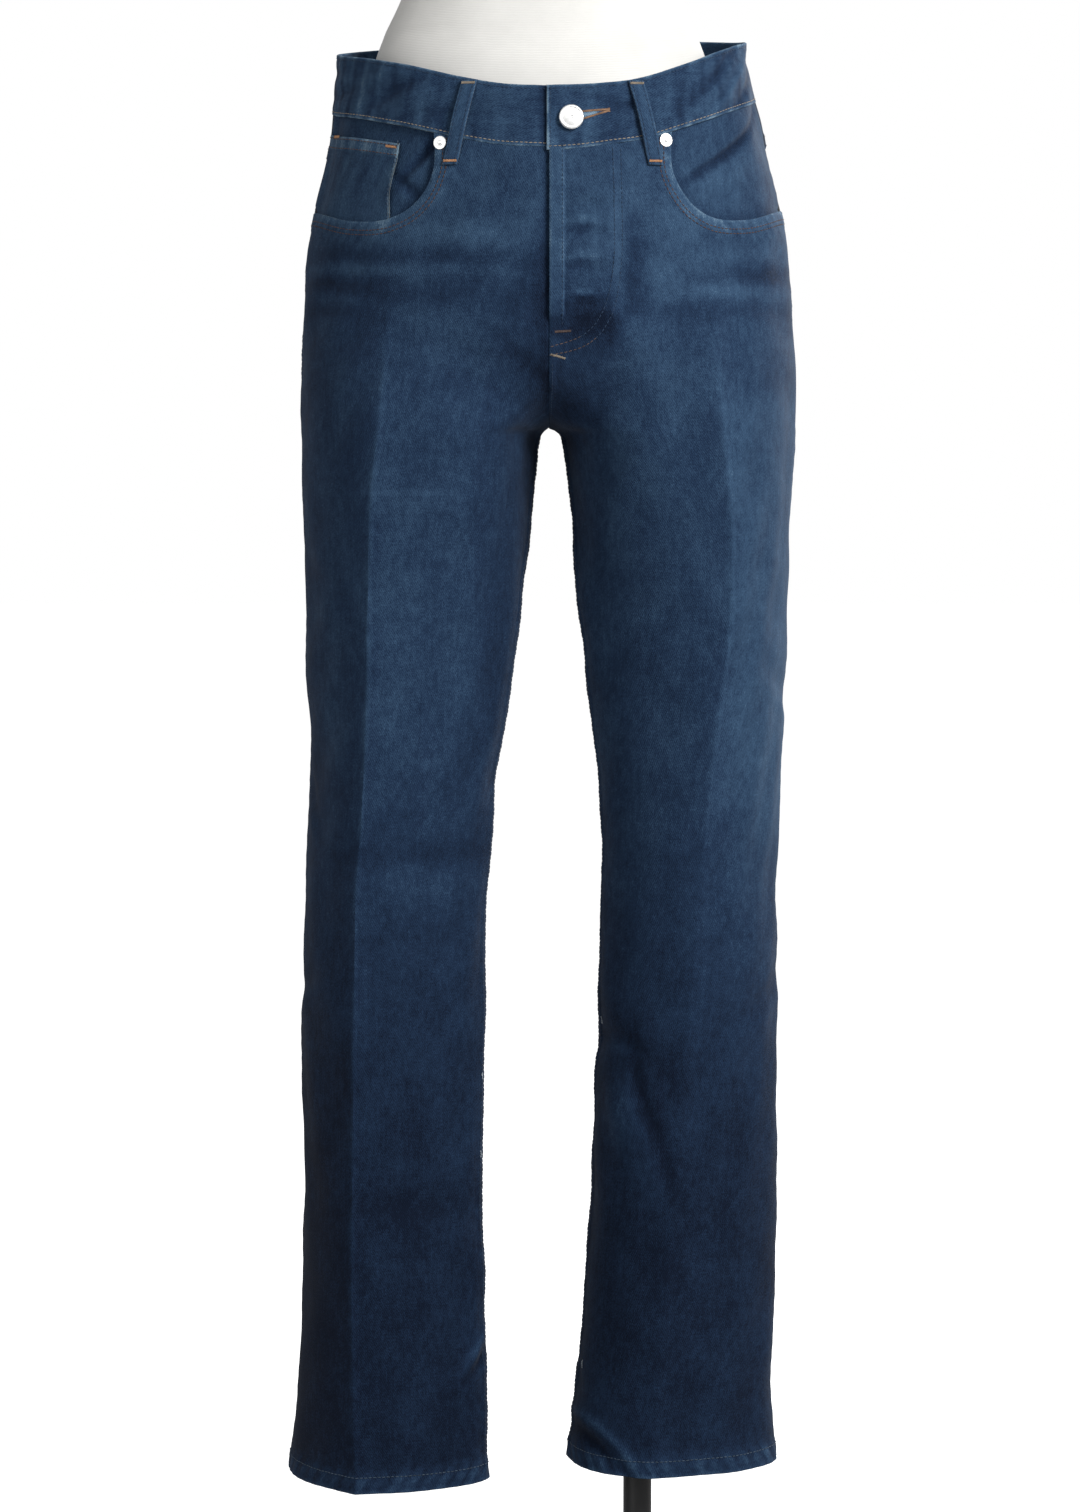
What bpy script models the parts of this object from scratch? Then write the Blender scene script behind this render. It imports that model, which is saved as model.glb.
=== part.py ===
"""Straight leg jeans filled out on a trouser form with a pole stand.

The jeans are built as they are sewn: two fronts, two backs with yokes, a shaped waistband, belt
loops, pocket facings and patch pockets, each a thin wall of its own. Every piece is read from one
surface for each half of the garment. A place on that surface is a share u round the half, from
the centre front or inseam (0) by the front crease (0.25), the outseam (0.5) and the back crease
(0.75) to the centre back or inseam (1), and a height z. Sizes are in millimetres and become metres
when a mesh is made. +Z is up, the front faces -Y, and +X is the wearer's left.
"""

import math

import bmesh
import bpy
import numpy as np

MM = 0.001
SEAM_GAP = 0.3
LAY_GAP = 0.6  # from a panel to a piece that lies on it
CLOTH = 1.4  # one layer of denim
RIGHT, LEFT = -1, 1  # the wearer's sides
FRONT, BACK = -1, 1

# Heights and turns of the cut
CROTCH_Z = 881.0
CROTCH_Y = 4.0
HEM_Z = {RIGHT: 107.0, LEFT: 119.0}
HEM_DEPTH = 14.0
FRONT_CURVE = 78.0  # height over which the front seam turns under
BACK_CURVE = 125.0
LEG_ROUND = 8.0  # radius of the turn from crotch to inseam
HIP_Z = 1000.0  # above this a half is a plain half oval
WAIST_FIT_Z = 1103.0  # where lengths along the waist are measured
BAND_HEIGHT = 43.0

# The top edge of the band, from the centre front to the centre back, on each half
WAIST_COLUMNS = ("u", "right", "left")
WAIST = (
    (0.00, 1122.8, 1122.8),
    (0.07, 1124.4, 1124.2),
    (0.14, 1129.6, 1128.2),
    (0.23, 1137.8, 1138.7),
    (0.34, 1145.8, 1151.6),
    (0.45, 1150.2, 1159.4),
    (0.60, 1156.5, 1163.5),
    (0.80, 1165.0, 1168.5),
    (1.00, 1170.0, 1170.0),
)

# The half oval of the hips: depth of the centre front and the centre back
TORSO_COLUMNS = ("z", "front", "back")
TORSO = (
    (1175, 94, 92),
    (1125, 97, 98),
    (1080, 101, 109),
    (1035, 105, 120),
    (990, 107, 127),
    (940, 106, 128),
    (881, 104, 122),
)

# Each half from waist to hem: how far the outseam, the inseam and both creases lie from the
# centre, how deep the creases stand, how far the outseam turns back, how sharp the press is
LEG_COLUMNS = (
    "z", "outer", "inner", "front_x", "front_y", "back_x", "back_y", "twist", "press",
)
LEG = {
    RIGHT: (
        (1148, 154, 6, 100, 90, 98, 100, 4, 0.0),
        (1125, 155, 6, 102, 92, 99, 104, 5, 0.0),
        (1102, 157, 6, 104, 94, 100, 108, 6, 0.0),
        (1070, 163, 6, 106, 96, 101, 112, 7, 0.0),
        (1037, 171, 6, 108, 98, 102, 116, 8, 0.05),
        (1000, 177, 6, 111, 100, 100, 118, 9, 0.2),
        (940, 180, 6, 116, 102, 96, 118, 10, 0.4),
        (881, 181, 6, 121, 101, 92, 115, 11, 0.5),
        (838, 181, 10, 126, 98, 88, 107, 12, 0.6),
        (765, 179, 19, 129, 91, 86, 97, 14, 0.7),
        (691, 178, 29, 130, 85, 86, 89, 15, 0.75),
        (617, 177, 40, 134, 79, 87, 82, 15, 0.75),
        (543, 180, 45, 139, 75, 88, 77, 15, 0.8),
        (432, 183, 48, 141, 71, 91, 72, 16, 0.8),
        (319, 182, 49, 143, 68, 93, 69, 16, 0.8),
        (206, 186, 47, 143, 66, 95, 67, 16, 0.8),
        (150, 190, 46, 142, 66, 96, 66, 16, 0.8),
        (107, 194, 45, 141, 66, 97, 66, 16, 0.8),
    ),
    LEFT: (
        (1148, 142, 8, 98, 90, 96, 100, 4, 0.0),
        (1125, 148, 8, 101, 92, 98, 104, 5, 0.0),
        (1102, 154, 8, 104, 94, 100, 108, 6, 0.0),
        (1070, 161, 8, 107, 96, 101, 112, 7, 0.0),
        (1037, 169, 8, 109, 98, 102, 116, 8, 0.05),
        (1000, 175, 8, 112, 100, 100, 118, 9, 0.15),
        (940, 179, 8, 118, 102, 96, 118, 10, 0.3),
        (881, 180, 8, 123, 101, 92, 115, 11, 0.45),
        (838, 178, 14, 128, 98, 89, 107, 12, 0.55),
        (765, 175, 20, 130, 91, 88, 97, 12, 0.6),
        (691, 173, 29, 123, 85, 91, 89, 9, 0.5),
        (617, 170, 37, 114, 80, 95, 82, 6, 0.4),
        (543, 169, 38, 108, 76, 98, 77, 4, 0.35),
        (432, 168, 35, 99, 72, 101, 73, 1, 0.3),
        (319, 169, 31, 90, 69, 104, 70, -1, 0.3),
        (206, 167, 24, 81, 67, 107, 67, -3, 0.3),
        (160, 166, 19, 77, 66, 108, 66, -3, 0.3),
        (119, 169, 15, 73, 66, 109, 66, -3, 0.3),
    ),
}

# How a section's curve leaves and meets its corners, as shares of the corner's own width and
# depth: on the hips' oval, on a round leg and on a pressed leg
OVAL_LEAVE, ROUND_LEAVE, PRESS_LEAVE = (1.87, 0.76), (1.66, 0.0), (2.0, 1.0)
OVAL_REACH, ROUND_REACH, PRESS_REACH = 1.12, 1.66, 1.0
OVAL_CENTRE, OVAL_ARRIVE = 1.1, 0.8
CROTCH_ROOM = 0.7  # how far the cloth heads outwards from the crotch seam
CROTCH_DEPTH = 0.9  # depth of the inner thigh at the crotch, as a share of the crease's
CROTCH_FADE, LEG_FADE = 60.0, 170.0  # heights over which those give way, above and below
EDGE_HOLD = 5  # the power by which the crotch's own small turn dies out in the cloth beside it
PRESS_TOP, PRESS_FADE = {FRONT: 881.0, BACK: 770.0}, 119.0  # where a press starts to fade

# Broad soft folds: the half and place of the middle, length and width, slant of the length from
# level in degrees, and depth (a ridge is negative)
FOLD_COLUMNS = ("side", "u", "z", "length", "width", "slant", "depth")
FOLDS = (
    (RIGHT, 0.16, 322, 120, 40, 4, 2.2),
    (RIGHT, 0.12, 180, 110, 44, -14, -1.8),
    (RIGHT, 0.42, 640, 150, 60, 30, 1.6),
    (RIGHT, 0.80, 600, 150, 50, 12, 2.6),
    (RIGHT, 0.88, 550, 120, 44, -16, 2.0),
    (RIGHT, 0.72, 300, 130, 50, 10, 1.8),
    (RIGHT, 0.88, 825, 110, 46, 24, 2.4),
    (LEFT, 0.10, 432, 110, 42, -16, 2.6),
    (LEFT, 0.17, 372, 130, 44, -52, -2.4),
    (LEFT, 0.12, 165, 110, 44, -22, -2.4),
    (LEFT, 0.40, 560, 160, 60, -24, 1.8),
    (LEFT, 0.80, 590, 150, 50, -12, 2.6),
    (LEFT, 0.88, 535, 120, 44, 14, 2.0),
    (LEFT, 0.74, 330, 140, 50, -8, 1.8),
    (LEFT, 0.88, 825, 110, 46, -24, 2.4),
)
FOLD_GIRTH = 450.0  # millimetres that a whole round of u stands for
NEAR_U, NEAR_Z = 0.004, 1.5  # steps to the neighbours that a place's way out is taken from
SEAM_MITRE = 0.45  # the narrowest angle that a seam's wall is mitred for, as its cosine

# Where the panels' own columns and rows of points lie
FRONT_SHARES = (0, 0.035, 0.08, 0.11, 0.14, 0.2, 0.25, 0.3, 0.36, 0.43, 0.5)
BACK_SHARES = (0.5, 0.57, 0.64, 0.7, 0.75, 0.8, 0.86, 0.92, 0.965, 1)
HIP_ROWS = 5
CROTCH_ROWS = (80, 60, 42, 27, 15, 6.5, 1.5, 0, -2, -6, -12, -25, -45)
THIGH_DROP, LEG_ROWS = 68.0, 20  # the even rows start this far under the crotch
YOKE_ROWS = 3

# Pieces of the jeans
YOKE_SIDE, YOKE_CENTRE = 32.0, 62.0  # depth of the yoke at the outseam and the centre back
MOUTH = {  # distance from the centre, and height, from the rivet to the outseam
    RIGHT: (
        (82, 1100), (81, 1078), (82, 1065), (88, 1050), (98, 1039), (114, 1031), (140, 1030),
        (172, 1039),
    ),
    LEFT: (
        (87, 1100), (86, 1078), (87, 1065), (93, 1051), (102, 1040), (116, 1032), (140, 1031),
        (172, 1041),
    ),
}
MOUTH_FAR_X, MOUTH_TOP_Z, MOUTH_DEPTH = 230.0, 1160.0, (-200.0, 50.0)
FACING, COIN, FACING_SEAM = 1.2, 1.0, 0.3
COIN_X, COIN_Z, COIN_FAR_SHARE, FACING_FAR_SHARE = 112.0, 1075.0, 0.497, 0.504
COIN_TOP_ROW, COIN_FOOT_ROW = 0.65, 3.8
FLY_WIDTH, FLY_FOOT_Z, FLY_LIFT = 42.0, 933.0, 1.0
FLY_EDGE, FLY_RUN = 1.2, 20.0  # share of the width, and height, over which the facing thins out
HEM_LIFT, HEM_SINK = 0.8, 0.6  # the folded hem stands out and in by so much
BAND_OUT, BAND_WALL = 0.6, 2.6  # the band stands proud of the panels, and is two layers
BAND_LAP, BAND_UNDERLAP, BAND_STATIONS = 2.0, 30.0, 4
RAMP_U, RAMP_RUN = 0.14, 0.06  # where the band starts to stand off, and over how long
LOOP_WIDTH, LOOP_WALL, LOOP_BELOW, LOOP_STAND = 11.0, 2.0, 20.0, 1.6
LOOP_ROWS, LOOP_TOP_DROP, LOOP_FOOT_SHARE = 9, 1.5, 0.8  # below that share it is sewn down flat
FRONT_LOOP = {RIGHT: (57.0, 68.5), LEFT: (62.0, 72.0)}  # distance from the centre, top and foot
SIDE_LOOP_U = 0.66
POCKET_GAP, POCKET_WALL = 1.1, 1.2
POCKET_IN, POCKET_WIDTH, POCKET_HEIGHT, POCKET_LEVEL_Z = 32.0, 138.0, 150.0, 1050.0
POCKET_POINT, POCKET_DROP, POCKET_TILT, POCKET_FOOT = 20.0, 16.0, 4.0, 0.87
BUTTON_X, BUTTON_Z, FITTING_SEGMENTS = 15.0, 1100.0, 20
BUTTON = ((3, 0), (3, 1.2), (8, 1.3), (8.8, 2.0), (8.4, 3.0), (6, 3.7), (0, 4.0))
RIVET_X, RIVET_Z = {RIGHT: 77.0, LEFT: 81.8}, {RIGHT: 1083.6, LEFT: 1085.4}
RIVET = ((4.8, 0), (4.8, 0.7), (3.6, 1.1), (1.7, 1.2), (1.5, 2.0), (0, 2.2))

# The stand
FORM_BODY = (  # height, and how far the form lies inside the outer face of the jeans
    (1168, 34), (1146, 26), (1115, 21), (1080, 17), (1048, 13), (1020, 9), (1000, 2.1),
    (980, 3.2), (961, 4.2),
)
FORM_TOP = ((1217, 0.70), (1213, 0.80), (1205, 0.86), (1190, 0.91))  # height, share of the rim
FORM_FOOT = ((941, 0.87), (925, 0.75), (913, 0.62), (905, 0.48))
POLE_X, POLE_RADIUS, POLE_SEGMENTS = 66.0, 10.5, 24
FLANGE_RADIUS, FLANGE = 20.0, 5.0
BASE_RADIUS, BASE, BASE_EDGE, BASE_FOOT_EDGE, BASE_SEGMENTS = 200.0, 8.0, 3.0, 1.0, 64
SOCKET_RADIUS, SOCKET_HEIGHT = 19.0, 26.0

DENIM = ((0.022, 0.047, 0.087), 0.85, 0.0)  # colour, roughness, metal
NICKEL = ((0.83, 0.83, 0.82), 0.3, 1.0)
JERSEY = ((0.78, 0.77, 0.74), 0.75, 0.0)
BLACK = ((0.012, 0.012, 0.012), 0.45, 0.0)
SHARP_ANGLE, SOFT_ANGLE = 32.0, 50.0  # faces that meet more steeply are shaded as an edge


def lerp(a, b, share):
    return a + (b - a) * share


def smooth(share):
    share = min(max(share, 0.0), 1.0)
    return share * share * (3 - 2 * share)


def spline(rows, columns):
    """For each column after the first, a smooth function of the first."""
    table = np.array(sorted(rows), float)
    z = table[:, 0]

    def reader(values):
        slopes = np.gradient(values, z)

        def value(at):
            at = min(max(at, z[0]), z[-1])
            k = min(int(np.searchsorted(z, at, side="right")) - 1, len(z) - 2)
            step = z[k + 1] - z[k]
            leaving, arriving = step * slopes[k], step * slopes[k + 1]
            return float(cubic(values[k], values[k + 1], leaving, arriving, (at - z[k]) / step))

        return value

    return {name: reader(table[:, i]) for i, name in enumerate(columns) if i}


def cubic(start, end, leaving, arriving, t):
    """The cubic from start to end with those tangents."""
    h = 2 * t**3 - 3 * t**2 + 1
    bend = (t**3 - 2 * t**2 + t) * leaving + (t**3 - t**2) * arriving
    return h * start + (1 - h) * end + bend


TORSO_AT = spline(TORSO, TORSO_COLUMNS)
LEG_AT = {side: spline(rows, LEG_COLUMNS) for side, rows in LEG.items()}
WAIST_AT = spline(WAIST, WAIST_COLUMNS)
FOLD_ROWS = [dict(zip(FOLD_COLUMNS, row)) for row in FOLDS]


def quarter(side, face, z, t):
    """A point from the centre seam or inseam (t 0) by the crease (0.5) to the outseam (1)."""
    size = {name: at(z) for name, at in LEG_AT[side].items()}
    key = "front" if face == FRONT else "back"
    centre = TORSO_AT[key](z)
    worn = 1 - smooth((z - CROTCH_Z) / (HIP_Z - CROTCH_Z))  # 0 on the hips, 1 on the legs
    press = size["press"] * (1 - smooth((z - PRESS_TOP[face]) / PRESS_FADE))
    outseam = np.array([size["outer"], face * size["twist"]])
    crease_x = size[key + "_x"]
    oval = math.sqrt(1 - (crease_x / outseam[0]) ** 2) * (centre - outseam[1]) + outseam[1]
    crease = np.array([crease_x, lerp(oval, size[key + "_y"], worn)])
    turn = FRONT_CURVE if face == FRONT else BACK_CURVE
    under = min(max((z - CROTCH_Z) / turn, 0.0), 1.0)
    drop = min(max((CROTCH_Z - z) / LEG_ROUND, 0.0), 1.0)
    fallen = smooth((CROTCH_Z - z) / LEG_FADE)
    inseam_y = face * lerp(CROTCH_Y, -size["twist"], fallen)
    risen = smooth((z - CROTCH_Z) / CROTCH_FADE)
    edge_x = size["inner"] * (1 - risen)
    edge_shift = size["inner"] * math.sqrt(drop * (2 - drop)) - edge_x  # only the edge turns in
    edge = np.array([edge_x, lerp(inseam_y, centre, math.sqrt(under * (2 - under)))])
    inward, outward = crease - edge, outseam - crease
    leave = lerp(np.array(ROUND_LEAVE), np.array(PRESS_LEAVE), press)
    leave = lerp(np.array(OVAL_LEAVE), leave, worn) * outward
    if t >= 0.5:
        reach = lerp(OVAL_REACH, lerp(ROUND_REACH, PRESS_REACH, press), worn)
        x, y = cubic(crease, outseam, leave, np.array([0, reach]) * outward, 2 * t - 1)
        return np.array([side * x, face * y, z])
    arrive = leave * lerp(OVAL_ARRIVE, ROUND_LEAVE[0], worn) * inward[0] / leave[0]
    pressed = np.array(PRESS_LEAVE) * np.array([inward[0], crease[1] - inseam_y])
    arrive = lerp(arrive, pressed, press)
    # the middle of this quarter keeps its depth while the seam turns under
    oval_middle = (centre + crease[1]) / 2 - arrive[1] / 8
    middle = lerp(CROTCH_DEPTH * crease[1], oval_middle, smooth(under))
    room = lerp(CROTCH_ROOM, OVAL_CENTRE, risen) * inward[0]
    away = np.array([room, 8 * middle - 4 * (edge[1] + crease[1]) + arrive[1]])
    leg_away = np.array([0, lerp(ROUND_REACH, PRESS_REACH, press) * inward[1]])
    x, y = cubic(edge, crease, lerp(away, leg_away, fallen), arrive, 2 * t)
    x += edge_shift * (1 - 2 * t) ** EDGE_HOLD
    return np.array([side * x, face * y, z])


def bare_point(side, u, z):
    if u <= 0.5:
        return quarter(side, FRONT, z, 2 * u)
    return quarter(side, BACK, z, 2 * (1 - u))


def bare_normal(side, u, z):
    """The way out of the surface. On the centre seam it lies in the middle plane, and is longer
    where the two halves meet at an angle, so that a wall keeps its thickness there."""
    du, dz = NEAR_U, NEAR_Z
    centre_seam = u in (0.0, 1.0) and z >= CROTCH_Z
    inseam = u in (0.0, 1.0) and z < CROTCH_Z
    if centre_seam and z == CROTCH_Z:
        return np.array([0.0, 0.0, -1.0])
    low_z = max(z - dz, CROTCH_Z) if centre_seam else z - dz
    high_z = min(z + dz, CROTCH_Z) if inseam else z + dz
    up = bare_point(side, u, high_z) - bare_point(side, u, low_z)
    if inseam:
        across = bare_point(side, du, z) - bare_point(side, 1 - du, z)
    else:
        across = bare_point(side, min(u + du, 1), z) - bare_point(side, max(u - du, 0), z)
    normal = np.cross(across, up) * side
    normal /= np.linalg.norm(normal)
    if centre_seam:
        middle = np.array([0.0, normal[1], normal[2]])
        middle /= np.linalg.norm(middle)
        return middle / max(float(normal @ middle), SEAM_MITRE)
    return normal


def girth(side, z):
    """Shares u, and the distance along the cloth to each from the front edge."""
    shares = np.linspace(0, 1, 81)
    points = np.array([bare_point(side, u, z) for u in shares])
    steps = np.linalg.norm(np.diff(points, axis=0), axis=1)
    return shares, np.concatenate([[0], np.cumsum(steps)])


def share_from_back(side, z, distance):
    """The place that lies a distance along the cloth from the centre back."""
    shares, along = girth(side, z)
    return float(np.interp(along[-1] - distance, along, shares))


def share_at_x(side, z, x):
    """Where the front of a half stands x from the centre."""
    low, high = 0.0, 0.5
    for _ in range(30):
        middle = (low + high) / 2
        if abs(bare_point(side, middle, z)[0]) < x:
            low = middle
        else:
            high = middle
    return (low + high) / 2


def fold_depth(side, u, z):
    """How far the broad folds push the cloth in at a place."""
    depth = 0.0
    for fold in FOLD_ROWS:
        if fold["side"] != side or abs(z - fold["z"]) > fold["length"]:
            continue
        across, up = (u - fold["u"]) * FOLD_GIRTH, z - fold["z"]
        slant = math.radians(fold["slant"])
        along = across * math.cos(slant) + up * math.sin(slant)
        off = up * math.cos(slant) - across * math.sin(slant)
        reach = (2 * along / fold["length"]) ** 2 + (2 * off / fold["width"]) ** 2
        depth += fold["depth"] * math.exp(-reach)
    return depth


def point(side, u, z, lift=0.0):
    """A place on the jeans, moved out by lift."""
    place, normal = bare_point(side, u, z), bare_normal(side, u, z)
    return place + normal * (lift - fold_depth(side, u, z))


def waist_top(side, u):
    return WAIST_AT["right" if side == RIGHT else "left"](u)


def waist_seam(side, u):
    return waist_top(side, u) - BAND_HEIGHT


def yoke_seam(side, u):
    return waist_seam(side, u) - lerp(YOKE_SIDE, YOKE_CENTRE, 2 * u - 1)


def add(name, vertices, faces, finish, sharp_angle=SHARP_ANGLE):
    """A closed mesh object from points in millimetres, with a material of its own."""
    colour, roughness, metallic = finish
    look = bpy.data.materials.new(name + "_finish")
    look.use_nodes = True
    shader = look.node_tree.nodes["Principled BSDF"]
    shader.inputs["Base Color"].default_value = (*colour, 1)
    shader.inputs["Roughness"].default_value = roughness
    shader.inputs["Metallic"].default_value = metallic
    mesh = bpy.data.meshes.new(name)
    mesh.from_pydata([tuple(float(c) * MM for c in v) for v in vertices], [], faces)
    shell = bmesh.new()
    shell.from_mesh(mesh)
    bmesh.ops.recalc_face_normals(shell, faces=shell.faces)
    shell.to_mesh(mesh)
    shell.free()
    mesh.shade_smooth()
    mesh.set_sharp_from_angle(angle=math.radians(sharp_angle))
    mesh.materials.append(look)
    made = bpy.data.objects.new(name, mesh)
    bpy.context.scene.collection.objects.link(made)
    return made


def wall(name, outer, inner):
    """A closed wall of denim between two grids of points."""
    rows, columns = len(outer), len(outer[0])
    vertices = [p for row in outer for p in row] + [p for row in inner for p in row]
    under = rows * columns
    grid = np.arange(under).reshape(rows, columns)
    faces = []
    for i in range(rows - 1):
        for j in range(columns - 1):
            a, b, c, d = grid[i, j], grid[i, j + 1], grid[i + 1, j + 1], grid[i + 1, j]
            faces += [(a, b, c, d), (a + under, d + under, c + under, b + under)]
    rim = [*grid[0], *grid[1:, -1], *grid[-1, -2::-1], *grid[-2:0:-1, 0]]
    for a, b in zip(rim, rim[1:] + rim[:1]):
        faces.append((a, a + under, b + under, b))
    return add(name, vertices, [tuple(int(k) for k in face) for face in faces], DENIM)


def ease_seams(grid):
    """Takes half a seam gap off both ends of each row; on the middle plane also across it."""
    for row in grid:
        for end, near in ((0, 1), (-1, -2)):
            step = row[near] - row[end]
            eased = row[end] + step / np.linalg.norm(step) * SEAM_GAP / 2
            if abs(row[end][0]) < SEAM_GAP:
                eased[0] = math.copysign(SEAM_GAP / 2, step[0])
            row[end] = eased


def sheet(name, side, shares, heights, lift, thick, sewn=True):
    """A wall on one half, from its columns' shares and heights(u), a list for each column. Its
    outer face stands lift(u, z) out, it is thick(u, z) thick, and sewn opens its seams."""
    outer, inner = [], []
    for k in range(len(heights(shares[0]))):
        places = [(u, heights(u)[k]) for u in shares]
        outer.append([point(side, u, z, lift(u, z)) for u, z in places])
        inner.append([point(side, u, z, lift(u, z) - thick(u, z)) for u, z in places])
    if sewn:
        ease_seams(outer)
        ease_seams(inner)
    return wall(name, outer, inner)


def leg_heights(side):
    """Heights from the hips to the hem: close at the crotch and at the hem's fold."""
    hem, hem_top = HEM_Z[side], HEM_Z[side] + HEM_DEPTH
    crotch = [CROTCH_Z + step for step in CROTCH_ROWS]
    leg = np.linspace(CROTCH_Z - THIGH_DROP, hem_top + THIGH_DROP / 2, LEG_ROWS)
    fold = [hem_top + 1, hem_top - 1, hem_top - HEM_DEPTH / 2, hem]
    return [HIP_Z, HIP_Z - 20, *crotch, *leg, *fold]


def hip_height(side, u, row):
    """The height of one of the front's rows between the waist seam (0) and the hip (5)."""
    return lerp(waist_seam(side, u) - SEAM_GAP, HIP_Z, row / HIP_ROWS)


def in_hem(side, z):
    return 1.0 if z < HEM_Z[side] + HEM_DEPTH else 0.0


def fly_lift(side, u, z):
    """The wearer's left front stands proud where the fly is faced."""
    if side == RIGHT or u > 0.25:
        return 0.0
    across = FLY_EDGE - abs(bare_point(side, u, z)[0]) / FLY_WIDTH
    return FLY_LIFT * smooth(across) * smooth((z - FLY_FOOT_Z) / FLY_RUN + 1)


def front_panel(side, name):
    """A front from waist seam to hem, with the scooped pocket mouth cut out of its outer corner."""

    def heights(u):
        return [hip_height(side, u, row) for row in range(HIP_ROWS)] + leg_heights(side)

    def lift(u, z):
        return HEM_LIFT * in_hem(side, z) + fly_lift(side, u, z)

    def thick(u, z):
        return CLOTH + lift(u, z) + HEM_SINK * in_hem(side, z)

    panel = sheet(name, side, FRONT_SHARES, heights, lift, thick)
    mouth = MOUTH[side]
    outline = [*mouth, (MOUTH_FAR_X, mouth[-1][1]), (MOUTH_FAR_X, MOUTH_TOP_Z)]
    outline.append((mouth[0][0], MOUTH_TOP_Z))
    count = len(outline)
    vertices = [(side * x, y, z) for y in MOUTH_DEPTH for x, z in outline]
    faces = [tuple(range(count)), tuple(range(2 * count - 1, count - 1, -1))]
    for k in range(count):
        after = (k + 1) % count
        faces.append((k, k + count, after + count, after))
    cutter = add(name + "_mouth_cutter", vertices, faces, DENIM)
    cutter.hide_render = True
    cutter.display_type = "WIRE"
    cut = panel.modifiers.new("pocket mouth", "BOOLEAN")
    cut.operation = "DIFFERENCE"
    cut.object = cutter


def back_panel(side, name):
    """A back from yoke to hem."""

    def heights(u):
        top = yoke_seam(side, u) - SEAM_GAP / 2
        return [*np.linspace(top, HIP_Z, YOKE_ROWS + 1)[:-1], *leg_heights(side)]

    def lift(u, z):
        return HEM_LIFT * in_hem(side, z)

    def thick(u, z):
        return CLOTH + lift(u, z) + HEM_SINK * in_hem(side, z)

    sheet(name, side, BACK_SHARES, heights, lift, thick)


def yoke(side, name):
    """The shaped piece between the band and the back."""

    def heights(u):
        top, foot = waist_seam(side, u) - SEAM_GAP, yoke_seam(side, u) + SEAM_GAP / 2
        return np.linspace(top, foot, YOKE_ROWS + 1)

    sheet(name, side, BACK_SHARES, heights, lambda u, z: 0.0, lambda u, z: CLOTH)


def pocket_facing(side, name):
    """The denim seen in the pocket mouth. On the right it leaves room for the coin pocket."""
    room = CLOTH + LAY_GAP + FACING_SEAM + (COIN + LAY_GAP if side == RIGHT else 0.0)
    shares = [*FRONT_SHARES[4:], FACING_FAR_SHARE]

    def heights(u):
        return [hip_height(side, u, row) for row in range(HIP_ROWS)]

    sheet(name, side, shares, heights, lambda u, z: -room, lambda u, z: FACING, sewn=False)


def coin_pocket(name):
    """The small pocket on the wearer's right facing; its foot is caught behind the mouth."""
    inside = share_at_x(RIGHT, COIN_Z, COIN_X)
    shares = [inside, *[u for u in FRONT_SHARES if u > inside][:-1], COIN_FAR_SHARE]

    def heights(u):
        rows = (COIN_TOP_ROW, 1, 2, 3, COIN_FOOT_ROW)
        return [hip_height(RIGHT, u, row) for row in rows]

    def lift(u, z):
        return -CLOTH - LAY_GAP

    sheet(name, RIGHT, shares, heights, lift, lambda u, z: COIN, sewn=False)


def waistband(name):
    """One strip all round: its right end passes under, and its left end laps over and stands off."""
    lap = BAND_WALL + SEAM_GAP
    under_end = share_at_x(LEFT, WAIST_FIT_Z, BAND_UNDERLAP)
    lap_end = share_at_x(RIGHT, WAIST_FIT_Z, BAND_LAP)
    stations = [(LEFT, under_end * share, 0.0) for share in (1, 0.7, 0.4, 0.15)]
    stations += [(RIGHT, u, 0.0) for u in FRONT_SHARES]
    stations += [(RIGHT, u, 0.0) for u in BACK_SHARES[1:]]
    stations += [(LEFT, u, 0.0) for u in reversed(BACK_SHARES[:-1])]
    for u in reversed(FRONT_SHARES[:-1]):
        stations.append((LEFT, u, lap * smooth((RAMP_U - u) / RAMP_RUN)))
    stations.append((RIGHT, lap_end, lap))
    outer, inner = [], []
    for side, u, lift in stations:
        column = waist_top(side, u) - np.linspace(0, BAND_HEIGHT, BAND_STATIONS)
        outer.append([point(side, u, z, BAND_OUT + lift) for z in column])
        inner.append([point(side, u, z, BAND_OUT + lift - BAND_WALL) for z in column])
    wall(name, outer, inner)


def belt_loop(name, top, foot, edges):
    """A flat strip from the band's top edge to below its seam, a little off the band between.
    edges(share, z) lists its places across at a share of its length."""
    outer, inner = [], []
    for k in range(LOOP_ROWS):
        share = k / (LOOP_ROWS - 1)
        z = lerp(top - LOOP_TOP_DROP, foot, share)
        bow = math.sin(math.pi * min(share / LOOP_FOOT_SHARE, 1))
        stand = BAND_OUT + 2 * SEAM_GAP + LOOP_STAND * bow
        if share > LOOP_FOOT_SHARE:
            stand = LAY_GAP
        places = edges(share, z)
        outer.append([point(side, u, z, stand + LOOP_WALL) for side, u in places])
        inner.append([point(side, u, z, stand) for side, u in places])
    wall(name, outer, inner)


def side_belt_loop(side, name, top_u, foot_u):
    def edges(share, z):
        shares, along = girth(side, z)
        middle = np.interp(lerp(top_u, foot_u, share), shares, along)
        steps = (-LOOP_WIDTH / 2, 0, LOOP_WIDTH / 2)
        return [(side, float(np.interp(middle + step, along, shares))) for step in steps]

    belt_loop(name, waist_top(side, top_u), waist_seam(side, foot_u) - LOOP_BELOW, edges)


def centre_belt_loop(name):
    def edges(share, z):
        ends = [(side, share_from_back(side, z, LOOP_WIDTH / 2)) for side in (RIGHT, LEFT)]
        return [ends[0], (LEFT, 1.0), ends[1]]

    belt_loop(name, waist_top(LEFT, 1.0), waist_seam(LEFT, 1.0) - LOOP_BELOW, edges)


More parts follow.
